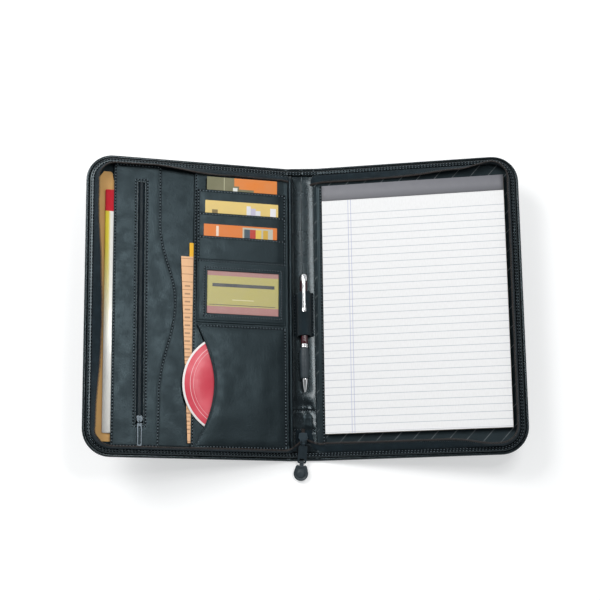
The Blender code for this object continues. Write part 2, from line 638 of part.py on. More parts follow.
def spine():
    """The spine: leather, lining, bound ends, pen loop and the anchored end of the zip."""
    half = CASE_LENGTH / 2
    field = FIELD_LENGTH / 2 + 1.0
    low = (-SPINE_HALF, -half, SPINE_SHELL[0])
    high = (SPINE_HALF, half, SPINE_SHELL[1])
    box("spine_leather", low, high, None, LEATHER)
    low = (-SPINE_HALF + 0.5, -field, SPINE_LINING[0])
    high = (SPINE_HALF - 0.5, field, SPINE_LINING[1])
    box("spine_lining", low, high, None, LINING_CLOTH)
    bound = SPINE_HALF - 0.5
    for name, side in (("spine_binding_top", 1), ("spine_binding_bottom", -1)):
        y0, y1 = sorted((side * (field + GAP), side * half))
        box(name, (-bound, y0, SPINE_LINING[0]), (bound, y1, SPINE_BINDING_TOP), None, LEATHER, bevel=0.5)
    inner = LOOP_RADIUS - LOOP_WALL
    y0, y1 = LOOP_Y
    ring = [(LOOP_RADIUS, y1), (LOOP_RADIUS, y0), (inner, y0), (inner, y1)]
    turned("pen_loop", ring, None, TAPE_CLOTH, (PEN_X, 0.0, PEN_Z), closed=True, steps=24)
    base = SPINE_LINING[1] + GAP
    plate("zip_end_tape", [rectangle(*END_TAPE)], (base, base + END_TAPE_THICKNESS), None, TAPE_CLOTH)
    tongue = rectangle(*TONGUE, (TONGUE_CORNER, TONGUE_CORNER, 0.0, 0.0), steps=6)
    plate("zip_tongue", [tongue], (base, base + TONGUE_THICKNESS), None, LEATHER)


def plate_solid(name, outlines, heights, parent, look):
    """A flat sheet as a closed mesh, ready to be joined to other solids."""
    outline = plate(name + "_outline", outlines, heights, parent, look)
    bpy.context.view_layer.update()
    evaluated = outline.evaluated_get(bpy.context.evaluated_depsgraph_get())
    mesh = bpy.data.meshes.new_from_object(evaluated)
    mesh.materials.clear()
    mesh_builder = bmesh.new()
    mesh_builder.from_mesh(mesh)
    bmesh.ops.remove_doubles(mesh_builder, verts=mesh_builder.verts, dist=0.00001)
    mesh_builder.to_mesh(mesh)
    mesh_builder.free()
    piece = place(name, mesh, look, parent, outline.location / MM)
    bpy.data.objects.remove(outline, do_unlink=True)
    return piece


def main_slider():
    """The slider of the long zip, with the ears and the pin that carry its pull."""
    x, y = SLIDER_X, SLIDER_Y
    base = SPINE_LINING[1] + 2 * GAP + END_TAPE_THICKNESS
    half = SLIDER_HALF_WIDTH
    back, shoulder, point = (y + length for length in SLIDER_LENGTHS)
    outline = [(x - half, back), (x - half, shoulder), (x, point), (x + half, shoulder), (x + half, back)]
    body = plate_solid("main_zip_slider", [outline], (base, base + SLIDER_THICKNESS), None, DARK_METAL)
    pivot_y, pivot_z = PLATE_PIVOT
    for name, side in (("slider_ear_left", -1), ("slider_ear_right", 1)):
        middle = x + side * EAR_OFFSET
        low = (middle - EAR_THICKNESS / 2, pivot_y + EAR_REACH[0], base + EAR_RISE[0])
        high = (middle + EAR_THICKNESS / 2, y + EAR_REACH[1], pivot_z + EAR_RISE[1])
        combine(body, place(name, box_mesh(name, low, high), DARK_METAL, None))
    pin = rod_mesh("slider_pin", PIN_RADIUS, PIN_LENGTH, "X", segments=12)
    combine(body, place("slider_pin", pin, DARK_METAL, None, (x, pivot_y, pivot_z)))


def main_pull_plate():
    """The metal plate of the long zip's pull, which turns on the slider's pin."""
    pivot_y, pivot_z = PLATE_PIVOT
    axis = frame("pull_plate_axis", (SLIDER_X, pivot_y, pivot_z), (PLATE_SLOPE, 0.0, 0.0))
    half, shoulder, end, corner = PLATE_HALF_WIDTH, PLATE_SHOULDER, PLATE_END, PLATE_CORNER
    tongue, start = PLATE_TONGUE
    outline = [(half, shoulder), (tongue, shoulder), (tongue, start), (-tongue, start), (-tongue, shoulder)]
    outline += [(-half, shoulder)] + arc((corner - half, end + corner), corner, 180, 270, 4)
    outline += arc((half - corner, end + corner), corner, 270, 360, 4)
    slot_half, slot_low, slot_high = PLATE_SLOT
    slot = rectangle(-slot_half, slot_half, end + slot_low, end + slot_high, (1.0, 1.0, 0.2, 0.2), steps=3)
    heights = (-PLATE_HALF_THICKNESS, PLATE_HALF_THICKNESS)
    body = plate_solid("main_pull_plate", [outline, slot], heights, axis, DARK_METAL)
    knuckle = rod_mesh("plate_knuckle", KNUCKLE_RADIUS, PLATE_KNUCKLE_LENGTH, "X")
    combine(body, place("plate_knuckle", knuckle, DARK_METAL, axis))
    bore = rod_mesh("plate_bore", PLATE_BORE, PLATE_KNUCKLE_LENGTH + 2, "X")
    combine(body, place("plate_bore", bore, DARK_METAL, axis), "DIFFERENCE")
    return axis


def rubber_grip(plate_axis):
    """The moulded grip: a knuckle round the plate's end bar, a rounded tab and a raised boss."""
    turn = GRIP_SLOPE - PLATE_SLOPE
    axis = frame("rubber_grip_axis", (0.0, -PLATE_LENGTH, 0.0), (turn, 0.0, 0.0), plate_axis)
    wide = GRIP_HALF_WIDTH
    centre = (0.0, wide - GRIP_LENGTH)
    left = [(-x, y) for x, y in GRIP_SHOULDERS]
    outline = left + arc(centre, wide, 165, 375, 14) + list(reversed(GRIP_SHOULDERS))
    body = plate_solid("rubber_grip", [outline], (-GRIP_HALF_THICKNESS, GRIP_HALF_THICKNESS), axis, RUBBER)
    combine(body, place("grip_neck", box_mesh("grip_neck", *GRIP_NECK), RUBBER, axis))
    knuckle = rod_mesh("grip_knuckle", KNUCKLE_RADIUS, GRIP_KNUCKLE_LENGTH, "X")
    combine(body, place("grip_knuckle", knuckle, RUBBER, axis))
    bore = rod_mesh("grip_bore", GRIP_BORE, GRIP_KNUCKLE_LENGTH + 1.8, "X")
    combine(body, place("grip_bore", bore, RUBBER, axis), "DIFFERENCE")
    boss = rod_mesh("grip_boss", BOSS_RADIUS, BOSS_HEIGHT, "Z", segments=24)
    combine(body, place("grip_boss", boss, RUBBER, axis, (0.0, centre[1], BOSS_HEIGHT * 0.7)))


def pen():
    """A twist ballpoint: cap, clip and barrel above, ring, grip and tip below, refill inside."""
    axis = (PEN_X, 0.0, PEN_Z)
    low, dome_start, top = CAP_Y
    angles = [math.radians(angle) for angle in (70, 50, 30, 12, 0)]
    cap = [(0.0, top)]
    cap += [(CAP_RADIUS * math.cos(t), dome_start + (top - dome_start) * math.sin(t)) for t in angles]
    turned("pen_cap", cap + [(CAP_RADIUS, low), (0.0, low)], None, CHROME, axis)
    low, top = BARREL_Y
    barrel = [(0.0, top), (BARREL_RADIUS, top), (BARREL_RADIUS, low)]
    barrel += [(REFILL_BORE, low), (REFILL_BORE, REFILL_BORE_TOP), (0.0, REFILL_BORE_TOP)]
    turned("pen_barrel", barrel, None, BURGUNDY, axis)
    low, shoulder, top = RING_Y
    ring = [(RING_RADIUS - RING_CHAMFER, top), (RING_RADIUS, shoulder), (RING_RADIUS, low)]
    turned("pen_ring", ring + [(REFILL_BORE, low), (REFILL_BORE, top)], None, CHROME, axis, closed=True)
    for name, profile, bore, look in (
            ("pen_grip", GRIP_PROFILE, REFILL_BORE, RUBBER), ("pen_tip", TIP_PROFILE, TIP_BORE, CHROME)):
        inside = [(bore, profile[-1][1]), (bore, profile[0][1])]
        turned(name, list(profile) + inside, None, look, axis, closed=True)
    turned("pen_refill", REFILL_PROFILE, None, CHROME, axis)
    low = PEN_Z + LOOP_RADIUS + GAP
    high = low + CLIP_THICKNESS
    neck = PEN_Z + CAP_RADIUS + GAP
    end, inner, outer, back = CLIP_Y
    side = [(back, neck), (back, high - back + outer), (outer, high), (end, high), (end, low), (inner, low)]
    side += [(inner, neck)]
    curve = bpy.data.curves.new("pen_clip", "CURVE")
    curve.dimensions = "2D"
    curve.fill_mode = "BOTH"
    curve.extrude = CLIP_HALF_WIDTH * MM
    spline = curve.splines.new("POLY")
    spline.points.add(len(side) - 1)
    for point, (y, z) in zip(spline.points, side):
        point.co = (y * MM, z * MM, 0.0, 1.0)
    spline.use_cyclic_u = True
    place("pen_clip", curve, CHROME, None, (PEN_X, 0.0, 0.0), (math.pi / 2, 0.0, math.pi / 2))


def build():
    """Put the case together."""
    left = frame("left_cover_axis", (-HINGE_X, 0.0, HINGE_Z), (0.0, LEFT_TILT, 0.0))
    right = frame("right_cover_axis", (HINGE_X, 0.0, HINGE_Z), (0.0, -RIGHT_TILT, 0.0))
    spine()
    cover("left", -1, left)
    cover("right", 1, right)
    zip_half("left", -1, left, LEFT_LEANS, LEFT_RISER)
    zip_half("right", 1, right, RIGHT_LEANS, RIGHT_RISER)
    left_pockets(left)
    card_slots(left)
    disc_pocket(left)
    left_papers(left)
    pocket_zip_pull(left)
    writing_pad(right)
    main_slider()
    rubber_grip(main_pull_plate())
    pen()


build()
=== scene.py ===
"""Looks for the portfolio case: leather, lining, zip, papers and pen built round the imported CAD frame.

Sizes are in millimetres and turned into metres by MM. Each cover has its own frame, with its origin
on its hinge line: local Y runs along the spine, local X lies in the cover, and local Z (called
height, h) leaves its inner face. "a" is the distance from the hinge line towards the outer edge; it is
negative on the spine.
"""
import json
import math

import bmesh
import bpy
from mathutils import Matrix, Vector, noise


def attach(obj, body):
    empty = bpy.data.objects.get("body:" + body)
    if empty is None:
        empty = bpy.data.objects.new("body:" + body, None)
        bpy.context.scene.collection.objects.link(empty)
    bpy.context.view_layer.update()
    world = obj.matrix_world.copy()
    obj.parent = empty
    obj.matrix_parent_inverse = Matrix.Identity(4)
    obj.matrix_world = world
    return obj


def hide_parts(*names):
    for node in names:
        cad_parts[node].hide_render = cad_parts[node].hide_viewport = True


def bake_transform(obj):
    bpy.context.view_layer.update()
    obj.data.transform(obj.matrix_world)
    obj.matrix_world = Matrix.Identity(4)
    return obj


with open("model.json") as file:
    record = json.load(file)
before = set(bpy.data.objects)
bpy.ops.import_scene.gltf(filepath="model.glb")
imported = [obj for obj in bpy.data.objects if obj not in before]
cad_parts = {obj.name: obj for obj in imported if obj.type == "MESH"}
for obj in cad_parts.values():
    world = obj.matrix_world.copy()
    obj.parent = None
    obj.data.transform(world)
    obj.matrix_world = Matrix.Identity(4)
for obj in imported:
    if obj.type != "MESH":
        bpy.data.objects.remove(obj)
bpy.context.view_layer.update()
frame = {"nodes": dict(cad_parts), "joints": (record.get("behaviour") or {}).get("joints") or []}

MM = 0.001

# Case, as in the CAD model
JOINTS = {joint["name"]: joint for joint in frame["joints"]}
TILT = {
    -1: math.radians(JOINTS["left_cover_fold"]["range_deg"][1]),
    1: math.radians(JOINTS["right_cover_fold"]["range_deg"][1])}
HINGE_X = JOINTS["right_cover_fold"]["pos_m"][0] / MM
HINGE_Z = JOINTS["right_cover_fold"]["pos_m"][2] / MM
BODY = {-1: "left_cover", 1: "right_cover"}
SIDE_NAME = {-1: "left", 1: "right"}
COVER_WIDTH = 241.4
CASE_LENGTH = 354.0
CORNER_RADIUS = 32.0
FIELD = 166.5  # half the length of the panels between the zip tapes
BEND = 6.0  # the leather bends over this distance on both sides of a hinge line

# Zip
TAPE_INSET = 9.5
TAPE_ROOT = 1.6
# Tables of (place, value) along the rim, from the top of the fold (0) round to its bottom (1): the height
# where the tape starts to curl, how far it reaches beyond, and how far it leans in, in degrees
RISERS = {-1: ((0.0, 7.5), (0.12, 7.5), (0.2, 4.0), (1.0, 4.0)), 1: ((0.0, 3.8), (1.0, 3.8))}
REACHES = {-1: ((0.0, 8.6), (0.12, 8.6), (0.2, 9.8), (1.0, 9.8)), 1: ((0.0, 10.0), (1.0, 10.0))}
LEANS = {
    -1: ((0.0, 72.0), (0.07, 66.0), (0.15, 20.0), (0.42, 18.0), (0.515, 66.0), (0.588, 18.0), (0.66, 6.0),
         (1.0, 6.0)),
    1: ((0.0, 80.0), (0.07, 76.0), (0.15, 40.0), (0.19, 4.0), (0.5, 12.0), (0.82, 12.0), (0.87, 60.0),
        (1.0, 66.0))}
COIL_PITCH = 1.5
LEAD_IN_STEPS, LEAD_OUT_STEPS = 14, 18
LEAD_START = 8.0  # the tape leaves its straight run this far from the hinge line

# Pockets: places on the left cover, and the heights of the panels' outer faces
LOWER_TOP, ZIP_TOP, CARD_TOP, DISC_TOP = 5.1, 6.2, 8.15, 11.5
SEAM_INSET = 2.0
PANEL_SPLIT = 114.5
CARD_PITCH = 28.2
SLOT_Y = 139.8
SLOT_HEIGHT = 12.3
SLOT_TILT = math.asin(1.6 / CARD_PITCH)
STRIP_RIGHT = 4.6
STRIP_SEAMS = (-PANEL_SPLIT + 3.5, -STRIP_RIGHT - SEAM_INSET)  # the x of a card strip's side seams
STITCH_SINK = 0.15  # a seam's stitches start this far below their panel's face
WINDOW = (14.2, 100.3, -8.3, 41.9)
DISC_CENTRE = (69.0, -91.8)
DISC_SEAM_TOP, DISC_SEAM_END = -23.5, -164.0
ZIP_SLOT = 177.5
ZIP_HOLE = (-ZIP_SLOT - 4.6, -ZIP_SLOT + 4.6, -140.0, 145.0)

# Writing pad, pen and the long zip's slider
PAD_LEFT, PAD_WIDTH, PAD_LENGTH, PAD_CENTRE_Y, HEADER = 8.3, 215.9, 298.45, 2.1, 18.6
PAD_RIGHT = PAD_LEFT + PAD_WIDTH
PAD_BOTTOM = PAD_CENTRE_Y - PAD_LENGTH / 2
PAD_TOP = PAD_CENTRE_Y + PAD_LENGTH / 2
PAD_FOLD = PAD_TOP - HEADER
RULE_PITCH = 8.7
SEAMS_ACROSS_SPINE = (-118.2, -140.2, -143.2)
PEN_X, PEN_Z = 1.6, 10.7
SLIDER_X, SLIDER_Y = -1.2, -149.0
PULL_PIN_Y, PULL_PIN_Z = -157.5, 8.6
UP = Vector((0.0, 0.0, 1.0))
COOL_SHINE = (0.66, 0.9, 1.0, 1.0)


# ---------------------------------------------------------------- node materials


class Look:
    """A Principled material built from nodes, with lengths in millimetres."""

    def __init__(self, name, roughness=0.5, **sockets):
        self.material = bpy.data.materials.new(name)
        self.material.use_nodes = True
        self.tree = self.material.node_tree
        self.shader = self.tree.nodes["Principled BSDF"]
        self.shader.inputs["Roughness"].default_value = roughness
        for socket, value in sockets.items():
            self.shader.inputs[socket.replace("_", " ")].default_value = value
        place = self.node("ShaderNodeTexCoord")
        scale = self.node("ShaderNodeVectorMath", operation="SCALE")
        scale.inputs["Scale"].default_value = 1 / MM
        self.link(place.outputs["Object"], scale.inputs[0])
        self.position = scale.outputs[0]
        split = self.node("ShaderNodeSeparateXYZ")
        self.link(self.position, split.inputs[0])
        self.x, self.y, self.z = split.outputs
        self.heights = []

    def node(self, kind, **settings):
        made = self.tree.nodes.new(kind)
        for name, value in settings.items():
            setattr(made, name, value)
        return made

    def link(self, source, target):
        if hasattr(source, "node"):
            self.tree.links.new(source, target)
        else:
            target.default_value = source

    def math(self, operation, *values):
        made = self.node("ShaderNodeMath", operation=operation)
        for socket, value in zip(made.inputs, values):
            self.link(value, socket)
        return made.outputs[0]

    def times(self, first, *others):
        """The product of several values."""
        for other in others:
            first = self.math("MULTIPLY", first, other)
        return first

    def wave(self, value, length):
        """A sine of the given wave length, -1 to 1."""
        return self.math("SINE", self.times(value, 2 * math.pi / length))

    def noise(self, size, detail=2.0, stretch=(1.0, 1.0, 1.0)):
        """Soft noise, 0 to 1, whose lumps are about size across."""
        scaled = self.node("ShaderNodeVectorMath", operation="MULTIPLY")
        self.link(self.position, scaled.inputs[0])
        scaled.inputs[1].default_value = stretch
        made = self.node("ShaderNodeTexNoise")
        self.link(scaled.outputs[0], made.inputs["Vector"])
        made.inputs["Scale"].default_value = 1 / size
        made.inputs["Detail"].default_value = detail
        return made.outputs["Fac"]

    def cells(self, size):
        """Cell pattern for grain: the distance to the nearest edge between cells."""
        made = self.node("ShaderNodeTexVoronoi", feature="DISTANCE_TO_EDGE")
        self.link(self.position, made.inputs["Vector"])
        made.inputs["Scale"].default_value = 1 / size
        return made.outputs["Distance"]

    def ramp(self, value, low, high, start=0.0, end=1.0):
        """value mapped from low..high to start..end."""
        made = self.node("ShaderNodeMapRange", interpolation_type="SMOOTHSTEP")
        for socket, setting in zip(made.inputs, (value, low, high, start, end)):
            self.link(setting, socket)
        return made.outputs[0]

    def blotch(self, size, detail=2.0, low=0.3, high=0.7, start=0.0, end=1.0):
        """Noise whose middle range, low to high, is spread over start..end."""
        return self.ramp(self.noise(size, detail), low, high, start, end)

    def band(self, value, low, high, soft=0.15):
        """1 where value is between low and high."""
        rise = self.ramp(value, low - soft, low + soft)
        fall = self.ramp(value, high - soft, high + soft, 1.0, 0.0)
        return self.times(rise, fall)

    def patch(self, x0, x1, y0, y1, soft=0.15):
        """1 inside a rectangle of the piece's own X and Y."""
        return self.times(self.band(self.x, x0, x1, soft), self.band(self.y, y0, y1, soft))

    def lines(self, value, pitch, width, offset=0.0, soft=0.12):
        """1 on thin lines that repeat every pitch."""
        shifted = self.math("ADD", value, pitch / 2 - offset)
        wrapped = self.math("WRAP", shifted, pitch, 0.0)
        distance = self.math("ABSOLUTE", self.math("SUBTRACT", wrapped, pitch / 2))
        return self.ramp(distance, width / 2 - soft, width / 2 + soft, 1.0, 0.0)

    def either(self, *masks):
        """The larger of several masks."""
        result = masks[0]
        for mask in masks[1:]:
            result = self.math("MAXIMUM", result, mask)
        return result

    def paint(self, colour, socket):
        """Sets a colour socket from a node's output or from plain numbers."""
        self.link(colour if hasattr(colour, "node") else (*colour, 1.0), socket)

    def mix(self, mask, first, second):
        made = self.node("ShaderNodeMix", data_type="RGBA")
        self.link(mask, made.inputs["Factor"])
        self.paint(first, made.inputs["A"])
        self.paint(second, made.inputs["B"])
        return made.outputs["Result"]

    def attribute(self, name):
        return self.node("ShaderNodeAttribute", attribute_name=name).outputs["Fac"]

    def bump(self, height, depth):
        """Adds relief that is depth high, over any relief that is there."""
        made = self.node("ShaderNodeBump")
        made.inputs["Distance"].default_value = depth * MM
        self.link(height, made.inputs["Height"])
        if self.heights:
            self.link(self.heights[-1], made.inputs["Normal"])
        self.heights.append(made.outputs["Normal"])

    def done(self, colour, roughness=None):
        self.paint(colour, self.shader.inputs["Base Color"])
        if roughness is not None:
            self.link(roughness, self.shader.inputs["Roughness"])
        if self.heights:
            self.link(self.heights[-1], self.shader.inputs["Normal"])
        return self.material


def srgb(r, g, b):
    """A colour given as 0 to 255 screen values."""
    values = [v / 255 for v in (r, g, b)]
    return tuple(v / 12.92 if v <= 0.04045 else ((v + 0.055) / 1.055) ** 2.4 for v in values)


def tinted(colour, share, plus=0.0):
    """A colour made darker or lighter."""
    return [c * share + plus for c in colour]


def leather(name, share, grain, relief, gloss, crease, wear, **sockets):
    """Grained leather: pebbled cells, fine pores, soft creases, and edges rubbed lighter."""
    colour = tinted(INK, share)
    look = Look(name, Specular_IOR_Level=0.37, Specular_Tint=COOL_SHINE, **sockets)
    cell = look.ramp(look.cells(grain), 0.0, 0.28)
    look.bump(look.noise(9.0, 3.0, (1.0, 0.5, 1.0)), crease)
    look.bump(cell, relief * 0.4)
    look.bump(look.noise(2.1), relief * 1.2)
    mottled = look.mix(look.blotch(24.0, 4.0, 0.35), colour, tinted(colour, 1.45, 0.002))
    deep = look.mix(cell, tinted(colour, 0.55), mottled)
    rubbed = look.ramp(look.attribute("edge"), 0.0, 1.3, wear, 0.0)
    rubbed = look.times(rubbed, look.blotch(7.0, 3.0, 0.35, 0.75))
    worn = look.mix(rubbed, deep, tinted(colour, 2.6, 0.02))
    return look.done(worn, look.blotch(13.0, 3.0, start=gloss - 0.04, end=gloss + 0.06))


def woven(name, colour, thread=0.55, relief=0.12, roughness=0.85, sheen=0.05):
    """Plain weave: threads that cross over and under each other."""
    look = Look(name, Sheen_Weight=sheen, Sheen_Roughness=0.5, Specular_IOR_Level=0.25,
                Specular_Tint=COOL_SHINE)
    weave = look.times(look.wave(look.x, thread), look.wave(look.y, thread))
    look.bump(weave, relief)
    look.bump(look.noise(6.0, 3.0), relief)
    shade = look.mix(look.ramp(weave, -1.0, 1.0), tinted(colour, 0.7), tinted(colour, 1.3))
    faded = look.mix(look.blotch(11.0, 3.0, 0.4), shade, tinted(colour, 1.5))
    return look.done(faded, look.blotch(5.0, start=roughness - 0.06, end=roughness + 0.06))


def lined_cloth(name, colour):
    """Lining cloth: a smooth twill with a pale diagonal stripe every few millimetres."""
    look = Look(name, Sheen_Weight=0.06, Sheen_Roughness=0.4, Specular_IOR_Level=0.35,
                Specular_Tint=COOL_SHINE)
    slant = look.math("ADD", look.times(look.x, 0.73), look.times(look.y, -0.68))
    twill = look.wave(slant, 0.7)
    stripe = look.lines(slant, 15.5, 0.9, 0.0, 0.25)
    look.bump(twill, 0.06)
    look.bump(look.noise(14.0), 0.35)
    base = look.mix(look.blotch(20.0, 3.0, 0.35), colour, tinted(colour, 1.4))
    drawn = look.times(stripe, look.blotch(5.0, 2.0, 0.3, 0.6, 0.4, 0.9))
    return look.done(look.mix(drawn, base, tinted(colour, 4, 0.12)), look.ramp(twill, -1, 1, 0.42, 0.6))


def thread_look(name, colour):
    """Twisted sewing thread."""
    look = Look(name, roughness=0.55, Sheen_Weight=0.2)
    twist = look.wave(look.math("ADD", look.x, look.y), 0.35)
    look.bump(twist, 0.05)
    return look.done(look.mix(look.ramp(twist, -1, 1), tinted(colour, 0.6), tinted(colour, 1.25)))


def moulded(name, colour, roughness, relief=0.02, **sockets):
    """Moulded plastic or rubber with a fine texture and slight handling marks."""
    look = Look(name, **sockets)
    look.bump(look.noise(0.5), relief)
    look.bump(look.noise(4.0), relief * 2)
    shade = look.mix(look.blotch(8.0, 3.0, 0.3, 0.75), colour, tinted(colour, 1.25, 0.003))
    return look.done(shade, look.blotch(3.0, 3.0, start=roughness - 0.05, end=roughness + 0.08))


def metal(name, colour, roughness):
    """Plated metal with faint scratches along Y."""
    look = Look(name, Metallic=1.0)
    scratches = look.noise(1.2, 3.0, (4.0, 0.2, 4.0))
    look.bump(scratches, 0.004)
    shade = look.mix(look.blotch(6.0, 3.0, 0.35, 0.75), colour, tinted(colour, 0.82))
    return look.done(shade, look.ramp(scratches, 0.35, 0.7, roughness, roughness + 0.12))


def paper(look, print_colour, roughness=0.75):
    """Finishes a paper look: fibres, a faint tooth and a little mottling under its print."""
    look.bump(look.noise(0.6, 3.0), 0.02)
    look.bump(look.noise(30.0), 0.25)
    fibres = look.ramp(look.noise(1.5, 4.0, (1.0, 0.3, 1.0)), 0.3, 0.7, 0.0, 0.06)
    shaded = look.mix(fibres, print_colour, (0.25, 0.24, 0.22))
    return look.done(shaded, look.blotch(9.0, start=roughness - 0.05, end=roughness + 0.08))


def ruled_paper():
    """White writing paper with grey-blue rules and a double margin line."""
    look = Look("ruled_paper")
    first_rule = PAD_FOLD - 1.5 * RULE_PITCH
    rules = look.lines(look.y, RULE_PITCH, 0.6, PAD_FOLD - 2 * RULE_PITCH, 0.2)
    below = look.ramp(look.y, first_rule, first_rule + 0.1, 1.0, 0.0)
    rules = look.times(rules, below, look.ramp(look.y, -146.0, -145.5))
    margin = look.either(look.band(look.x, 39.4, 40.1, 0.2), look.band(look.x, 42.6, 43.3, 0.2))
    face = look.mix(look.times(rules, 0.62), (0.845, 0.84, 0.84), srgb(120, 132, 152))
    return paper(look, look.mix(look.times(margin, 0.8), face, srgb(172, 176, 206)))


def page_edges():
    """The side of a stack of sheets."""
    look = Look("page_edges")
    layers = look.lines(look.z, 0.22, 0.09, 0.0, 0.04)
    look.bump(layers, 0.05)
    return paper(look, look.mix(layers, (0.88, 0.88, 0.87), (0.55, 0.55, 0.56)))


def header_paper():
    """Grey card along the top of the pad, with painted shade: paler towards the fold, darker towards the top
    edge and the right.
    """
    look = Look("header_paper")
    # painted shade: darker from the fold towards the top edge, and darker towards the right
    base = look.mix(look.ramp(look.y, PAD_FOLD, PAD_TOP), srgb(133, 133, 138), srgb(112, 112, 118))
    across = look.times(look.ramp(look.x, PAD_LEFT, PAD_RIGHT), 0.3)
    return paper(look, look.mix(across, base, srgb(96, 97, 104)), 0.6)


def plain_paper(name, colour):
    return paper(Look(name), colour)


def booklet_paper():
    """A booklet cover: red head with a white disc, yellow body that fades to white."""
    look = Look("booklet_print", Coat_Weight=0.3)
    pale = look.either(look.ramp(look.x, -216.0, -212.5), look.ramp(look.y, -60.0, 80.0, 1.0, 0.0))
    body = look.mix(pale, srgb(244, 222, 66), srgb(252, 250, 244))
    head = look.ramp(look.y, 107.5, 108.0)
    return paper(look, look.mix(head, body, srgb(216, 34, 52)), 0.4)


def receipt_paper():
    """Peach paper with ruled rows and a short generic bar in each row."""
    look = Look("receipt_print")
    rows = look.lines(look.y, 9.3, 0.7, 0.0, 0.2)
    bars = look.times(look.lines(look.y, 9.3, 1.9, 4.4, 0.2), look.patch(-126.0, -119.5, -150.0, 30.0, 0.4))
    base = look.mix(look.times(rows, 0.7), srgb(240, 190, 145), srgb(120, 70, 52))
    return paper(look, look.mix(look.times(bars, 0.55), base, srgb(90, 55, 48)))


def card_look(name, base, patches):
    """A glossy card with coloured blocks: patches are (x0, x1, y0, y1, colour) on the piece's own axes."""
    look = Look(name, Coat_Weight=0.1, Coat_Roughness=0.3, Specular_IOR_Level=0.2)
    colour = base
    for x0, x1, y0, y1, shade in patches:
        colour = look.mix(look.patch(x0, x1, y0, y1), colour, shade)
    look.bump(look.noise(0.4), 0.01)
    tone = look.mix(look.blotch(18.0, 3.0, end=0.12), colour, (0.4, 0.35, 0.25))
    return look.done(tone, look.blotch(5.0, start=0.28, end=0.36))


def disc_look():
    """A printed disc: red face with pale rings at its rim and hub."""
    look = Look("disc_print", Coat_Weight=0.15, Coat_Roughness=0.2)
    dx = look.math("ADD", look.x, DISC_CENTRE[0])
    dy = look.math("SUBTRACT", look.y, DISC_CENTRE[1])
    radius = look.math("SQRT", look.math("ADD", look.times(dx, dx), look.times(dy, dy)))
    rings = look.either(look.band(radius, 50.6, 51.2), look.band(radius, 47.0, 47.3))
    pale = look.either(look.band(radius, 57.6, 60.4), look.band(radius, 0.0, 18.0))
    tone = look.mix(look.blotch(30.0), srgb(205, 52, 72), srgb(222, 84, 98))
    colour = look.mix(look.times(rings, 0.7), tone, srgb(246, 214, 216))
    look.bump(look.lines(radius, 1.6, 0.8), 0.01)
    return look.done(look.mix(pale, colour, srgb(238, 232, 230)), look.blotch(7.0, start=0.36, end=0.46))


def film_look():
    """Clear window film, slightly hazy."""
    look = Look("clear_film", Alpha=0.1, IOR=1.45)
    look.bump(look.noise(30.0, 1.0), 0.1)
    return look.done((0.8, 0.82, 0.84), look.blotch(9.0, start=0.12, end=0.2))


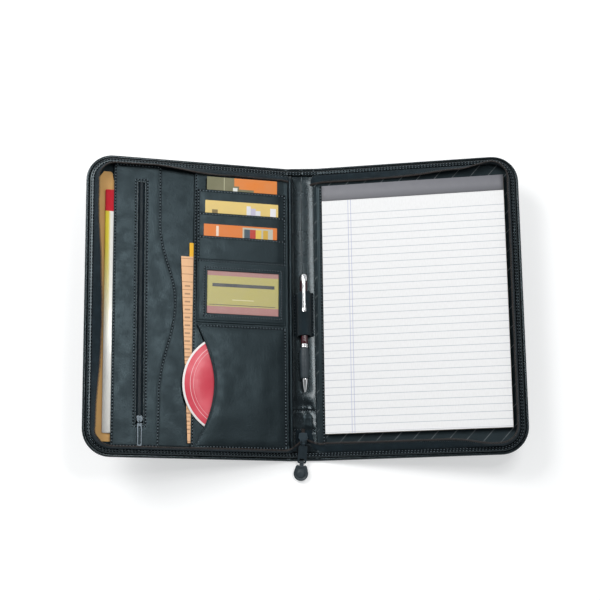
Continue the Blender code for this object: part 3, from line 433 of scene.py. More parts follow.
INK = srgb(30, 44, 52)
LOOKS = {
    "case_leather": leather(
        "case_leather", 0.12, 1.8, 0.05, 0.24, 0.1, 0.4, Coat_Weight=0.35, Coat_Roughness=0.14),
    "pocket_leather": leather("pocket_leather", 0.15, 1.9, 0.06, 0.34, 0.1, 0.5),
    "lining_leather": leather(
        "lining_leather", 0.22, 1.6, 0.08, 0.26, 0.12, 0.3, Coat_Weight=0.5, Coat_Roughness=0.18),
    "lining": lined_cloth("lining_cloth", tinted(INK, 0.16)),
    "tape": woven("tape_cloth", srgb(20, 30, 36)),
    "elastic": woven("elastic_cloth", srgb(21, 32, 38), 0.9, 0.25, 0.8, 0.08),
    "coil": moulded("coil_nylon", srgb(54, 47, 44), 0.4),
    "dark_coil": moulded("dark_coil_nylon", srgb(62, 70, 75), 0.35),
    "thread": thread_look("thread", srgb(98, 112, 120)),
    # painted shade: near-black for the shade in each needle hole and in the seam's groove
    "stitch_hole_shade": woven("stitch_hole_shade", (0.002, 0.002, 0.003), 0.5, 0.05, 0.95, 0.0),
    "board": plain_paper("stiffener_board", (0.30, 0.28, 0.25)),
    "black_metal": metal("black_metal", srgb(56, 66, 72), 0.42),
    "pull_metal": metal("pull_metal", srgb(92, 100, 106), 0.32),
    "chrome": metal("chrome", (0.86, 0.86, 0.87), 0.06),
    "rubber": moulded("rubber", srgb(36, 46, 52), 0.5, 0.03),
    "burgundy": moulded("burgundy", srgb(58, 12, 22), 0.14, 0.003, Coat_Weight=0.8, Coat_Roughness=0.04),
    "refill": metal("refill_brass", (0.62, 0.46, 0.2), 0.25),
    "ruled": ruled_paper(),
    "page_edges": page_edges(),
    "header": header_paper(),
    "backing": plain_paper("backing_board", srgb(170, 160, 142)),
    "manila": plain_paper("manila_card", srgb(222, 172, 104)),
    "booklet": booklet_paper(),
    "amber": plain_paper("amber_paper", srgb(252, 190, 42)),
    "receipt": receipt_paper(),
    "card_1": card_look("card_1_print", srgb(112, 110, 80), [
        (-68.0, -10.0, 100.0, 160.0, srgb(224, 128, 50)), (-68.0, -62.0, 100.0, 146.0, srgb(112, 110, 80)),
        (-62.0, -44.0, 100.0, 142.5, srgb(112, 110, 80)), (-80.5, -79.9, 100.0, 160.0, srgb(196, 194, 160)),
        (-69.5, -64.0, 139.0, 144.0, srgb(226, 226, 220))]),
    "card_2": card_look("card_2_print", srgb(228, 198, 118), [
        (-53.0, -48.0, 110.0, 122.5, srgb(226, 226, 232)), (-48.0, -42.0, 110.0, 120.0, srgb(196, 190, 214)),
        (-42.0, -36.0, 110.0, 117.5, srgb(222, 222, 228)), (-24.0, -17.0, 110.0, 121.5, srgb(232, 230, 232)),
        (-95.0, -88.0, 110.0, 116.0, srgb(120, 100, 50))]),
    "card_3": card_look("card_3_print", srgb(222, 120, 44), [
        (-58.0, -21.0, 80.0, 96.0, srgb(190, 186, 170)), (-56.0, -49.0, 80.0, 94.0, srgb(60, 78, 92)),
        (-49.0, -42.0, 80.0, 94.0, srgb(186, 52, 44)), (-42.0, -35.0, 80.0, 94.0, srgb(226, 190, 80)),
        (-33.0, -27.0, 80.0, 94.0, srgb(206, 164, 60)), (-90.0, -87.0, 84.0, 96.0, srgb(236, 214, 196))]),
    "id_card": card_look("id_card_print", srgb(188, 176, 92), [
        (-104.0, -10.0, -10.5, 0.5, srgb(178, 118, 112)), (-104.0, -10.0, 36.5, 45.0, srgb(178, 122, 116)),
        (-94.0, -19.0, 23.5, 27.5, srgb(40, 44, 48)), (-98.0, -18.0, 1.8, 2.6, srgb(70, 60, 52)),
        (-70.0, -44.0, 8.0, 9.0, srgb(222, 214, 160))]),
    "disc": disc_look(),
    "film": film_look(),
}
SLOTS = {  # the frame's material slot of each look, where it has another name
    "lining_leather": "lining", "tape": "zip_tape", "elastic": "zip_tape", "coil": "zip_coil",
    "dark_coil": "zip_coil", "pull_metal": "black_metal", "refill": "refill_brass", "ruled": "white_paper",
    "page_edges": "white_paper", "header": "grey_paper", "backing": "backing_board",
    "booklet": "booklet_cover", "amber": "amber_paper", "receipt": "peach_paper", "card_1": "card_olive",
    "card_2": "card_yellow", "card_3": "card_orange", "id_card": "id_gold", "disc": "disc_plastic",
    "film": "clear_film"}


# ---------------------------------------------------------------- mesh building


def smooth(t):
    """Soft step from 0 to 1."""
    t = min(max(t, 0.0), 1.0)
    return t * t * (3 - 2 * t)


def ripple(x, y, size, seed=0.0):
    """Smooth noise, -1 to 1, with waves about size long."""
    return noise.noise(Vector((x / size, y / size, seed)))


def cover_matrix(side):
    """A cover's frame, in metres."""
    turn = Matrix.Rotation(-side * TILT[side], 4, "Y")
    return Matrix.Translation(Vector((side * HINGE_X, 0.0, HINGE_Z)) * MM) @ turn


LEFT = {"body": "left_cover", "matrix": cover_matrix(-1)}
RIGHT = {"body": "right_cover", "matrix": cover_matrix(1)}


def bent(side, a, y, h):
    """A place in millimetres on the case's bent surface: a runs from the spine out over the cover."""
    angle = TILT[side] * smooth((a + BEND) / (2 * BEND))
    x = HINGE_X + a * math.cos(angle) - h * math.sin(angle)
    return Vector((side * x, y, HINGE_Z + a * math.sin(angle) + h * math.cos(angle)))


def spaced(length, step, edge=(0.0, 0.45, 0.9, 1.4, 1.9, 2.4, 3.0, 4.0)):
    """Shares of a length, 0 to 1, close together near both ends."""
    inner = length - 2 * edge[-1]
    if inner < step:
        count = max(4, math.ceil(length / 0.9))
        return [i / count for i in range(count + 1)]
    count = max(1, round(inner / step))
    middle = [edge[-1] + inner * i / count for i in range(1, count)]
    return [s / length for s in list(edge) + middle + [length - e for e in reversed(edge)]]


def build_mesh(name, verts, faces, edge=None):
    """A mesh from points in millimetres; edge is each point's distance to the edge, or one for all."""
    mesh = bpy.data.meshes.new(name)
    mesh.from_pydata([Vector(v) * MM for v in verts], [], faces)
    if edge is not None:
        values = edge if isinstance(edge, list) else [edge] * len(verts)
        mesh.attributes.new("edge", "FLOAT", "POINT").data.foreach_set("value", values)
    builder = bmesh.new()
    builder.from_mesh(mesh)
    bmesh.ops.delete(builder, geom=[v for v in builder.verts if not v.link_faces], context="VERTS")
    builder.to_mesh(mesh)
    builder.free()
    mesh.shade_smooth()
    return mesh


def grid_faces(rows, columns, around=False, skip=()):
    """Quads over rows of points; around joins each row's end to its start."""
    faces = []
    for i in range(rows - 1):
        for j in range(columns if around else columns - 1):
            if (i, j) not in skip:
                k = (j + 1) % columns
                faces.append((i * columns + j, i * columns + k, (i + 1) * columns + k, (i + 1) * columns + j))
    return faces


def surface(rows, columns, place, around=False):
    """Points place(row, column) and the faces between them."""
    verts = [place(row, column) for row in rows for column in columns]
    return verts, grid_faces(len(rows), len(columns), around)


def flipped(faces):
    """The same faces, seen from the other side."""
    return [tuple(reversed(face)) for face in faces]


def caps(total, n):
    """The two end faces of a tube whose rings have n points."""
    return [tuple(range(n))[::-1], tuple(range(total - n, total))]


def closing(total, n):
    """Faces that join the last ring of n points to the first."""
    last = total - n
    return [(last + i, last + (i + 1) % n, (i + 1) % n, i) for i in range(n)]


def add(name, shape, look, body=None, matrix=None, stands_for=(), thick=0.0, round_edge=0.0, across=None,
        slot=None):
    """Puts a piece in the scene and ties it to its body; if across names a side, it bakes the piece's
    modifiers and place into its mesh and ties it to no body.

    shape is (points, faces) or (points, faces, edge distances). slot is not used.
    """
    piece = bpy.data.objects.new(name, build_mesh(name, *shape))
    bpy.context.scene.collection.objects.link(piece)
    piece.data.materials.append(LOOKS[look])
    if matrix is not None:
        piece.matrix_world = matrix
    if thick:
        solid = piece.modifiers.new("thickness", "SOLIDIFY")
        solid.thickness = thick * MM
        solid.offset = -1.0
    if round_edge:
        bevel = piece.modifiers.new("rounded_edges", "BEVEL")
        bevel.width = round_edge * MM
        bevel.segments = 2
        bevel.limit_method = "ANGLE"
        bevel.angle_limit = math.radians(50)
        bevel.harden_normals = True
    if across is None:
        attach(piece, body)
    else:
        apply_modifiers(piece)
        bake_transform(piece)
    slot or SLOTS.get(look, look)
    if stands_for:
        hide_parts(*stands_for)
    return piece


def apply_modifiers(piece):
    """Makes a piece's modifiers part of its mesh."""
    bpy.context.view_layer.update()
    evaluated = piece.evaluated_get(bpy.context.evaluated_depsgraph_get())
    mesh = bpy.data.meshes.new_from_object(evaluated)
    piece.modifiers.clear()
    piece.data = mesh


def panel(left, right, bottom, top, height, step=4.0, hole=None):
    """A sheet between two edges, each a number or a function of y. Returns points, faces and edge distances.

    height(x, y, edge) gives the surface; hole is an (x0, x1, y0, y1) opening.
    """
    left, right = (edge if callable(edge) else (lambda y, x=edge: x) for edge in (left, right))
    ys = [bottom + (top - bottom) * t for t in spaced(top - bottom, step)]
    if hole:
        ys = [y for y in ys if min(abs(y - hole[2]), abs(y - hole[3])) > 1.2]
        ys = sorted(ys + [hole[i] + d for i in (2, 3) for d in (-1.0, 0.0, 1.0)])
    middle = (bottom + top) / 2
    verts, edges, skip = [], [], set()
    for i, y in enumerate(ys):
        x0, x1 = left(y), right(y)
        if hole:
            first = [x0 + (hole[0] - x0) * t for t in spaced(hole[0] - left(middle), step)]
            inside = [hole[0] + (hole[1] - hole[0]) * t for t in (0.25, 0.5, 0.75)]
            last = [hole[1] + (x1 - hole[1]) * t for t in spaced(right(middle) - hole[1], step)]
            xs = first + inside + last
            if i + 1 < len(ys) and hole[2] - 0.01 < y < hole[3] - 0.01:
                skip |= {(i, j) for j in range(len(first) - 1, len(first) + 3)}
        else:
            xs = [x0 + (x1 - x0) * t for t in spaced(right(middle) - left(middle), step)]
        for x in xs:
            edge = max(min(x - x0, x1 - x, y - bottom, top - y), 0.0)
            if hole:
                dx = max(hole[0] - x, x - hole[1], 0.0)
                dy = max(hole[2] - y, y - hole[3], 0.0)
                edge = min(edge, math.hypot(dx, dy))
            verts.append((x, y, height(x, y, edge)))
            edges.append(edge)
    columns = len(verts) // len(ys)
    return verts, grid_faces(len(ys), columns, skip=skip), edges


def turned_edge(edge):
    """Relief of a turned and stitched leather edge against the distance from it."""
    roll, groove = 0.3, 0.22
    return -roll * math.exp(-edge / 0.5) - groove * math.exp(-(((edge - SEAM_INSET) / 0.6) ** 2))


def leather_panel(name, outline, base, node, thick=0.7, wave=0.25, hole=None, extra=None, side=-1,
                  matrix=None):
    """A sewn leather panel on a cover. outline is (left, right, bottom, top), base its top height."""

    def height(x, y, edge):
        lift = wave * smooth(edge / 12.0) * (ripple(x, y, 34.0, base) + 0.4 * ripple(x, y, 13.0, base + 5))
        return base + turned_edge(edge) + lift + (extra(x, y, edge) if extra else 0.0)

    shape = panel(*outline, height, hole=hole)
    add(name, shape, "pocket_leather", BODY[side], matrix or cover_matrix(side), [node], thick, thick * 0.38)


def sweep(path, section, up=UP):
    """Points and faces of a closed section, a list of (sideways, up) offsets, carried along a path."""
    verts = []
    for i, point in enumerate(path):
        tangent = (path[min(i + 1, len(path) - 1)] - path[max(i - 1, 0)]).normalized()
        across = tangent.cross(up).normalized()
        rise = across.cross(tangent)
        verts += [point + across * sx + rise * sy for sx, sy in section]
    n = len(section)
    return verts, flipped(grid_faces(len(path), n, around=True)) + caps(len(verts), n)


def turn_angles(count):
    """The angles of evenly spaced points round a circle."""
    return [2 * math.pi * i / count for i in range(count)]


def ring(radius_x, radius_y=None, sides=10):
    """A round or oval section."""
    radius_y = radius_x if radius_y is None else radius_y
    return [(radius_x * math.cos(t), radius_y * math.sin(t)) for t in turn_angles(sides)]


def merge(parts):
    """Joins several (points, faces) pairs into one."""
    verts, faces = [], []
    for part_verts, part_faces in parts:
        faces += [tuple(i + len(verts) for i in face) for face in part_faces]
        verts += part_verts
    return verts, faces


def through(points, count):
    """A smooth curve through a few points."""
    points = [Vector(p) for p in points]
    padded = [2 * points[0] - points[1]] + points + [2 * points[-1] - points[-2]]
    result = []
    spans = len(points) - 1
    for i in range(count + 1):
        place = min(i / count * spans, spans - 1e-6)
        k, t = int(place), place - int(place)
        p0, p1, p2, p3 = padded[k:k + 4]
        value = 2 * p1 + (p2 - p0) * t + (2 * p0 - 5 * p1 + 4 * p2 - p3) * t * t
        result.append((value + (3 * p1 - p0 - 3 * p2 + p3) * t ** 3) / 2)
    return result


def walk(path, pitch, start):
    """Evenly spaced (point, tangent) pairs along a path of points."""
    result, carried = [], start
    for first, second in zip(path, path[1:]):
        span = (second - first).length
        while carried <= span and span > 0:
            t = carried / span
            result.append((first.lerp(second, t), (second - first).normalized()))
            carried += pitch
        carried -= span
    return result


def sew(name, paths, slot, body=None, matrix=None, across=None, up=UP, pitch=3.7, radius=0.5):
    """Rows of stitches along paths: each rises from the leather, and dips into a needle hole at both ends;
    the shade of each needle hole is painted as a flat near-black sliver.
    """
    stitches, hole_shades = [], []
    for path in paths:
        for point, tangent in walk(path, pitch, pitch / 2):
            line = [point + tangent * (t * 0.48 * pitch) + up * (radius * (0.5 - 3.6 * t * t))
                    for t in (-0.5, -0.32, 0.0, 0.32, 0.5)]
            stitches.append(sweep(line, ring(radius, radius / 2, 6), up))
        # painted shade: a flat near-black sliver at each needle hole and along the seam's groove between
        # stitches
        for point, tangent in walk(path, pitch, 0.0):
            line = [point + tangent * (t * 0.62 * pitch) + up * 0.04 for t in (-0.5, 0.0, 0.5)]
            hole_shades.append(sweep(line, ring(1.8 * radius, 0.14, 6), up))
    add(name, merge(stitches), "thread", body, matrix, across=across, slot=slot)
    add(name + "_holes", merge(hole_shades), "stitch_hole_shade", body, matrix, across=across, slot=slot)


def seam(height, *corners):
    """A dense path at one height through (x, y) corners."""
    points = [Vector((x, y, height)) for x, y in corners]
    path = []
    for first, second in zip(points, points[1:]):
        count = max(1, round((second - first).length / 2.0))
        path += [first.lerp(second, i / count) for i in range(count)]
    return path + [points[-1]]


def seam_round(height, x0, x1, y0, y1):
    """A dense path round a rectangle."""
    return seam(height, (x0, y0), (x1, y0), (x1, y1), (x0, y1), (x0, y0))


def steps_down(top, bottom, count):
    """Evenly spaced values from top to bottom."""
    return [top - i * (top - bottom) / count for i in range(count + 1)]


# ---------------------------------------------------------------- the case's rim: piping, binding, zip


def rim(inset, start, step=3.0):
    """Stations round a cover's free edges: (a, y, out_a, out_y, place), place running 0 to 1.

    The rim counts as 27 parts: 5 along the top, 6 round a corner, 5 down the side, and the same back.
    """
    parts = 27
    radius = CORNER_RADIUS - inset
    outer, half = COVER_WIDTH - inset, CASE_LENGTH / 2 - inset
    run, side = outer - radius - start, half - radius
    stations = []
    count = round(run / step)
    for i in range(count):
        stations.append((start + run * i / count, half, 0.0, 1.0, 5 / parts * i / count))
    for i in range(13):
        angle = math.radians(90 - 7.5 * i)
        c, s = math.cos(angle), math.sin(angle)
        stations.append((outer - radius + radius * c, side + radius * s, c, s, (5 + i / 2) / parts))
    count = round(2 * side / step)
    for i in range(1, count):
        stations.append((outer, side * (1 - 2 * i / count), 1.0, 0.0, (11 + 5 * i / count) / parts))
    mirrored = [(a, -y, oa, -oy, 1 - place) for a, y, oa, oy, place in stations if place <= 11 / parts + 1e-6]
    return stations + mirrored[::-1]


def rim_path(side, inset, start, h, step=3.0):
    """A path round a cover's free edges at one height."""
    return [bent(side, a, y, h) for a, y, _, _, _ in rim(inset, start, step)]


def reading(table, t):
    """Smooth reading of a short table of (place, value) pairs."""
    for (t0, v0), (t1, v1) in zip(table, table[1:]):
        if t <= t1:
            return v0 + (v1 - v0) * smooth((t - t0) / (t1 - t0))
    return table[-1][1]


def reach_at(y, inset):
    """How far a cover with rounded corners reaches from its hinge line at a given y."""
    radius = CORNER_RADIUS - inset
    straight = CASE_LENGTH / 2 - inset - radius
    over = min(max(abs(y) - straight, 0.0), radius)
    return COVER_WIDTH - inset - radius + math.sqrt(radius * radius - over * over)


def rim_piece(name, side, inset, section, stands_for):
    """A leather strip that follows the whole rim of a cover and on to the middle of the spine."""

    def place(station, corner):
        a, y, out_a, out_y, _ = station
        out, h = corner
        return bent(side, a + out_a * out, y + out_y * out, h + 0.05 * ripple(a * 2, y * 2, 9.0, out))

    verts, faces = surface(rim(inset, -HINGE_X, 2.5), section, place, around=True)
    faces += caps(len(verts), len(section))
    shape = (verts, flipped(faces) if side > 0 else faces, 2.0)
    add(name, shape, "case_leather", across=side, stands_for=stands_for)


def piping_and_binding(side):
    """The corded outer edge and the turned border that is stitched down inside it."""
    prefix = SIDE_NAME[side]
    cord = [(out, h - 1.1) for out, h in ring(1.9, sides=14)]
    rim_piece(prefix + "_corded_edge", side, 1.9, cord, [prefix + "_piping"])
    border = [(0.3, -1.8), (0.1, 0.2), (-0.5, 1.5), (-1.4, 2.3), (-2.6, 2.55), (-3.7, 2.45), (-4.8, 2.6),
              (-5.5, 2.3), (-5.8, 1.2), (-5.8, -1.8)]
    ends = ["spine_binding_top", "spine_binding_bottom"] if side < 0 else []
    rim_piece(prefix + "_bound_edge", side, 3.6, border, [prefix + "_edge_binding"] + ends)
    paths = [rim_path(side, inset, -HINGE_X, 2.5, 2.5) for inset in (5.9, 8.1)]
    sew(prefix + "_edge_stitching", paths, "case_leather", across=side, radius=0.3)


# Where the tape goes beyond its straight run: world points for its root, its knee and its free edge, at the
# top of the fold, where it starts under the lining, and at the bottom, where it ends in the slider
LEAD_INS = {
    -1: [((-12.5, 163.0, 3.2), (-14.5, 166.0, 5.0)), ((-12.0, 160.0, 3.6), (-14.6, 163.0, 10.0)),
         ((-11.5, 156.0, 2.6), (-15.0, 158.0, 11.0))],
    1: [((11.0, 163.5, 3.2), (14.5, 166.0, 4.2)), ((11.0, 160.0, 3.4), (14.5, 163.0, 6.2)),
        ((10.5, 156.5, 2.6), (14.0, 157.0, 6.0))]}
LEAD_OUTS = {
    -1: [((-15.0, -167.0, 5.0), (-9.0, -163.5, 3.8), (-5.5, -156.5, 3.8)),
         ((-15.4, -166.0, 8.2), (-8.8, -161.8, 6.0), (-4.6, -155.6, 4.8)),
         ((-15.4, -164.2, 11.0), (-8.5, -159.3, 8.6), (-3.4, -154.4, 6.2))],
    1: [((17.5, -166.5, 4.2), (10.5, -163.5, 3.8), (6.5, -156.5, 3.8)),
        ((18.0, -163.5, 7.2), (10.5, -160.4, 6.0), (5.4, -155.0, 4.8)),
        ((19.0, -158.7, 9.6), (10.6, -156.5, 8.0), (4.0, -153.4, 6.2))]}


def tape_sections(side):
    """Root, knee and free edge of the zip tape along its whole run, in world millimetres."""
    sections = []
    for a, y, out_a, out_y, place in rim(TAPE_INSET, LEAD_START):
        lean = math.radians(reading(LEANS[side], place))
        knee, reach = reading(RISERS[side], place), reading(REACHES[side], place)
        inward = reach * math.sin(lean)
        h = knee + reach * math.cos(lean)
        wave = 0.5 * ripple(a, y, 40.0, side) + 0.2 * ripple(a, y, 15.0, side + 3)
        root = bent(side, a, y, TAPE_ROOT)
        middle = bent(side, a - out_a * 0.3, y - out_y * 0.3, knee + 0.3 * wave)
        free = bent(side, a - out_a * (inward + wave), y - out_y * (inward + wave), h)
        sections.append((root, middle, free))
    lead_in = [through([*ends, start], LEAD_IN_STEPS) for ends, start in zip(LEAD_INS[side], sections[0])]
    lead_out = [through([start, *ends], LEAD_OUT_STEPS) for ends, start in zip(LEAD_OUTS[side], sections[-1])]
    return list(zip(*lead_in))[:-1] + sections + list(zip(*lead_out))[1:]


def arch(root, knee, free, t):
    """A point on the tape's curved section."""
    return root * (1 - t) ** 2 + knee * (2 * t * (1 - t)) + free * (t * t)


def coil_helix(sections):
    """The nylon coil sewn to the free edge: one filament wound round the edge line."""
    rise, wide, wire = 0.75, 1.15, 0.36
    line, frames = [], []
    for (_, knee_p, p), (_, knee_q, q) in zip(sections, sections[1:]):
        count = max(1, round((q - p).length / (COIL_PITCH / 8)))
        out_p, out_q = (p - knee_p).normalized(), (q - knee_q).normalized()
        for j in range(count):
            line.append(p.lerp(q, j / count))
            frames.append(out_p.lerp(out_q, j / count).normalized())
    travelled, path = 0.0, []
    for i, (point, out) in enumerate(zip(line, frames)):
        tangent = (line[min(i + 1, len(line) - 1)] - line[max(i - 1, 0)]).normalized()
        normal = tangent.cross(out).normalized()
        angle = 2 * math.pi * travelled / COIL_PITCH
        path.append(point + out * (0.5 + wide * math.cos(angle)) + normal * (rise * math.sin(angle)))
        if i + 1 < len(line):
            travelled += (line[i + 1] - point).length
    # up is tilted a little, so that it is never in line with the filament
    return sweep(path, ring(wire, wire, 5), Vector((0.0137, 0.0071, 1.0)).normalized())


def straight_coils(x, y0, y1, z, spread, rise, count, section, phase=0.0):
    """Two rows of coil teeth side by side along Y, each one filament with eight points to a turn."""
    rows = []
    for shift, start in ((-spread, 0.0), (spread, phase)):
        path = []
        for i in range(count + 1):
            angle = 2 * math.pi * i / 8 + start
            path.append(Vector((x + shift + 0.95 * math.cos(angle), y0 + (y1 - y0) * i / count,
                                z + rise * math.sin(angle))))
        rows.append(sweep(path, section))
    return merge(rows)


def zip_halves(side):
    """One half of the long zip: woven tape and coil, from under the lining round to the slider."""
    prefix = SIDE_NAME[side]
    sections = tape_sections(side)
    tape = surface(sections, [j / 10 for j in range(11)], lambda section, t: arch(*section, t))
    add(prefix + "_woven_tape", tape, "tape", across=side, stands_for=[prefix + "_zip_tape"], thick=0.55)
    add(prefix + "_coil_teeth", coil_helix(sections), "coil", across=side, stands_for=[prefix + "_zip_coil"])
    path = [arch(*section, 0.9) + UP * 0.1 for section in sections[LEAD_IN_STEPS:-LEAD_OUT_STEPS]]
    sew(prefix + "_coil_stitching", [path], "zip_tape", across=side, pitch=2.4, radius=0.16)


# ---------------------------------------------------------------- covers


def cover_sheet(side, name, node, look, inset, start, height, thick, flip):
    """A sheet of a cover, from start to its round outer corners. height(a, edge, soft) is its surface."""
    half = CASE_LENGTH / 2
    ys = [(half - inset) * (2 * t - 1) for t in spaced(2 * (half - inset), 5.0)]
    straight = half - CORNER_RADIUS
    corner = [straight + (CORNER_RADIUS - inset) * math.sin(math.radians(s)) for s in range(8, 90, 8)]
    ys = sorted(set(ys + corner + [-y for y in corner]))
    columns = [0.0, 0.02, 0.04] + spaced(235.0, 6.0)[1:]
    verts, edges = [], []
    for y in ys:
        reach = reach_at(y, inset)
        for t in columns:
            a = start + (reach - start) * t
            edge = min(reach - a, half - inset - abs(y))
            soft = 0.35 * smooth(edge / 25.0) * ripple(a, y, 60.0, 2.0 + side)
            verts.append(bent(side, a, y, height(a, edge, soft)))
            edges.append(max(edge, 0.0) + 0.6)
    faces = grid_faces(len(ys), len(columns))
    prefix = SIDE_NAME[side]
    return add(prefix + name, (verts, flipped(faces) if flip else faces, edges), look, across=side,
               stands_for=[prefix + node], thick=thick, round_edge=0.3)


def cover_sheets(side):
    """The outer leather, which runs on into the hinge groove, and the inner lining cloth."""

    def outer(a, edge, soft):
        h = -3.0 + 2.3 * smooth((4.0 - a) / 8.0) + 0.35 * math.exp(-(edge / 1.5)) + 0.12 * abs(soft)
        return h + (0.35 * math.exp(-(((edge - 7.0) / 0.8) ** 2)) if a > 12 else 0.0)

    def inner(a, edge, soft):
        return 1.7 + 0.4 * soft

    prefix = SIDE_NAME[side]
    cover_sheet(side, "_outer_leather", "_cover_leather", "case_leather", 2.6, -4.5, outer, 1.3, side > 0)
    inset, start = 5.0, -2.5
    cloth = cover_sheet(side, "_lining_cloth", "_lining", "lining", inset, start, inner, 0.6, side < 0)
    sew(prefix + "_back_stitching", [rim_path(side, 9.6, 12.0, -3.02)], "case_leather", BODY[side], up=-UP,
        radius=0.26)


def zip_panel_edge(y):
    """The zip panel's S-shaped inner edge, as a distance from the hinge line."""
    high, low, peak, straight, bulge = 95.0, -105.0, 3.0, 153.5, 18.5
    if not low < y < high:
        return straight if y >= high else straight + (low - y) / 60.0
    span = (high - peak) if y > peak else (peak - low)
    return straight - bulge * 0.5 * (1 + math.cos(math.pi * (y - peak) / span))


def card_panel_edge(y):
    """The x of the card panel's slightly slanting left edge."""
    return -PANEL_SPLIT - (FIELD - y) / 75


def left_pockets():
    """The stack of pocket panels on the left cover."""
    leather_panel("lower_pocket_leather", (-159.0, -1.5, -FIELD, FIELD), LOWER_TOP, "curved_pocket_panel")
    zip_panel = (lambda y: -210.0 - (FIELD - y) / 660, lambda y: -zip_panel_edge(y), -FIELD, FIELD)
    leather_panel("zip_pocket_leather", zip_panel, ZIP_TOP, "zip_pocket_panel", thick=0.8, hole=ZIP_HOLE)
    leather_panel("card_panel_leather", (card_panel_edge, -1.5, -FIELD, FIELD - 0.5), CARD_TOP, "card_panel")
    x0, x1, y0, y1 = ZIP_HOLE
    # painted highlight, in part: the lip wears the paler, glossier lining leather, not the pocket leather it
    # is made of, so it reads as a lighter line
    lip = sweep(seam(6.0, (x0, y0), (x1, y0), (x1, y1), (x0, y1), (x0, y0 + 1.0)), ring(0.75, 0.55, 10))
    add("zip_slot_lip", (*lip, 2.0), "lining_leather", **LEFT, slot="pocket_leather")


def left_pocket_seams():
    """The stitching of the left cover's pocket panels."""
    top, z = FIELD - SEAM_INSET, ZIP_TOP - STITCH_SINK
    ys = steps_down(top, -top, 110)
    x0, x1, y0, y1 = ZIP_HOLE
    seams = [
        [Vector((-zip_panel_edge(y) - SEAM_INSET, y, z)) for y in ys],
        seam(z, (-208.2, top), (-208.6, -top)),
        seam(z, (-208, top), (-156, top)),
        seam(z, (-208, -top), (-157, -top)),
        seam_round(z, x0 - 2.6, x1 + 2.6, y0 - 2.6, y1 + 2.6),
        [Vector((card_panel_edge(y) + SEAM_INSET, y, CARD_TOP - STITCH_SINK)) for y in ys],
        seam(CARD_TOP - STITCH_SINK, (-PANEL_SPLIT + 1, FIELD - 2.5), (-6.0, FIELD - 2.5))]
    sew("left_pocket_stitching", seams, "pocket_leather", **LEFT)


def slot_matrix(y):
    """The frame of a card slot: like the cover's, but turned about the slot's mouth."""
    pivot = Matrix.Translation(Vector((0.0, y, 0.0)) * MM)
    lift = Matrix.Translation(Vector((0.0, 0.0, SLOT_HEIGHT)) * MM)
    back = Matrix.Translation(Vector((0.0, -y, 0.0)) * MM)
    return LEFT["matrix"] @ pivot @ lift @ Matrix.Rotation(SLOT_TILT, 4, "X") @ back


def strip_middle(x):
    """1 over the middle of a card strip, 0 at its sewn ends."""
    return smooth((x + 112.0) / 8.0) * smooth((-8.0 - x) / 8.0)


def card_slots():
    """Three card strips and the window pocket, each lapping over the one below."""
    left, right = STRIP_SEAMS
    for slot in range(3):
        y = SLOT_Y - slot * CARD_PITCH
        outline = (-PANEL_SPLIT + 1.5, -STRIP_RIGHT, y - CARD_PITCH - 2.5, y)

        def swell(x, py, edge, mouth=y):
            return 0.35 * strip_middle(x) * smooth((mouth - py) / 3.0) - 0.25 * (1 - strip_middle(x))

        name, matrix = f"card_strip_{slot + 1}", slot_matrix(y)
        leather_panel(name, outline, 1.15, f"card_slot_{slot + 1}", 0.5, 0.15, extra=swell, matrix=matrix)
        mouth, foot = y - SEAM_INSET, y - CARD_PITCH
        lines = [seam(1.0, (left, mouth), (right, mouth)), seam(1.0, (left, mouth), (left, foot)),
                 seam(1.0, (right, mouth), (right, foot))]
        sew(name + "_stitching", lines, "pocket_leather", "left_cover", matrix)
    window_pocket(SLOT_Y - 3 * CARD_PITCH)


def window_pocket(y):
    """The pocket with the clear window: a leather frame, a stitched border and the film behind it."""
    inner, outer, low, high = WINDOW
    matrix = slot_matrix(y)

    def swell(x, py, edge):
        return 0.2 * strip_middle(x)

    def film(u, v):
        x, py = -outer + 0.4 + (outer - inner - 0.8) * u, low + 0.4 + (high - low - 0.8) * v
        return x, py, 0.75 + 0.18 * ripple(x, py, 26.0, 4.0)

    outline = (-PANEL_SPLIT + 1.5, -STRIP_RIGHT, -19.5, y)
    leather_panel("window_pocket_leather", outline, 1.25, "id_window_frame", 0.55, 0.12,
                  (-outer, -inner, low, high), swell, matrix=matrix)
    left, right = STRIP_SEAMS
    border = 3.6
    lines = [seam(1.25, (left, y - SEAM_INSET), (right, y - SEAM_INSET)),
             seam_round(1.3, -outer - border, -inner + border, low - border, high + border)]
    sew("window_stitching", lines, "pocket_leather", "left_cover", matrix, pitch=3.2)
    shares = [i / 24 for i in range(25)]
    verts, faces = surface(shares, shares, film)
    add("window_film", (verts, flipped(faces)), "film", "left_cover", matrix, ["id_window_film"])


def disc_mouth(y):
    """The disc pocket's curved mouth, as a distance from the hinge line."""
    deepest, middle = 92.0, -88.0
    return deepest + (0.0251 * (y - middle) ** 1.6 if y > middle else 0.0041 * (y - middle) ** 2)


def disc_pocket():
    """The leather pocket over the disc."""

    def swell(x, y, edge):
        away = math.hypot(x + DISC_CENTRE[0], y - DISC_CENTRE[1])
        pressed = 0.7 * smooth((9.0 - edge) / 9.0) * smooth((x + 112.0) / 30.0)
        return 1.1 * smooth((74.0 - away) / 40.0) - pressed

    leather_panel("disc_pocket_leather", (lambda y: -disc_mouth(y), -STRIP_RIGHT, -166.0, -21.5), DISC_TOP,
                  "disc_pocket", 0.6, 0.5, extra=swell)
    z, right, top, end = 11.0, STRIP_SEAMS[1], DISC_SEAM_TOP, DISC_SEAM_END
    lines = [[Vector((-disc_mouth(y) + SEAM_INSET, y, 10.95)) for y in steps_down(top, top - 140.0, 90)],
             seam(z, (-PANEL_SPLIT + 6, top), (right, top)), seam(z, (right, top), (right, end)),
             seam(z, (-PANEL_SPLIT + 2, end), (right, end))]
    sew("disc_pocket_stitching", lines, "pocket_leather", **LEFT)


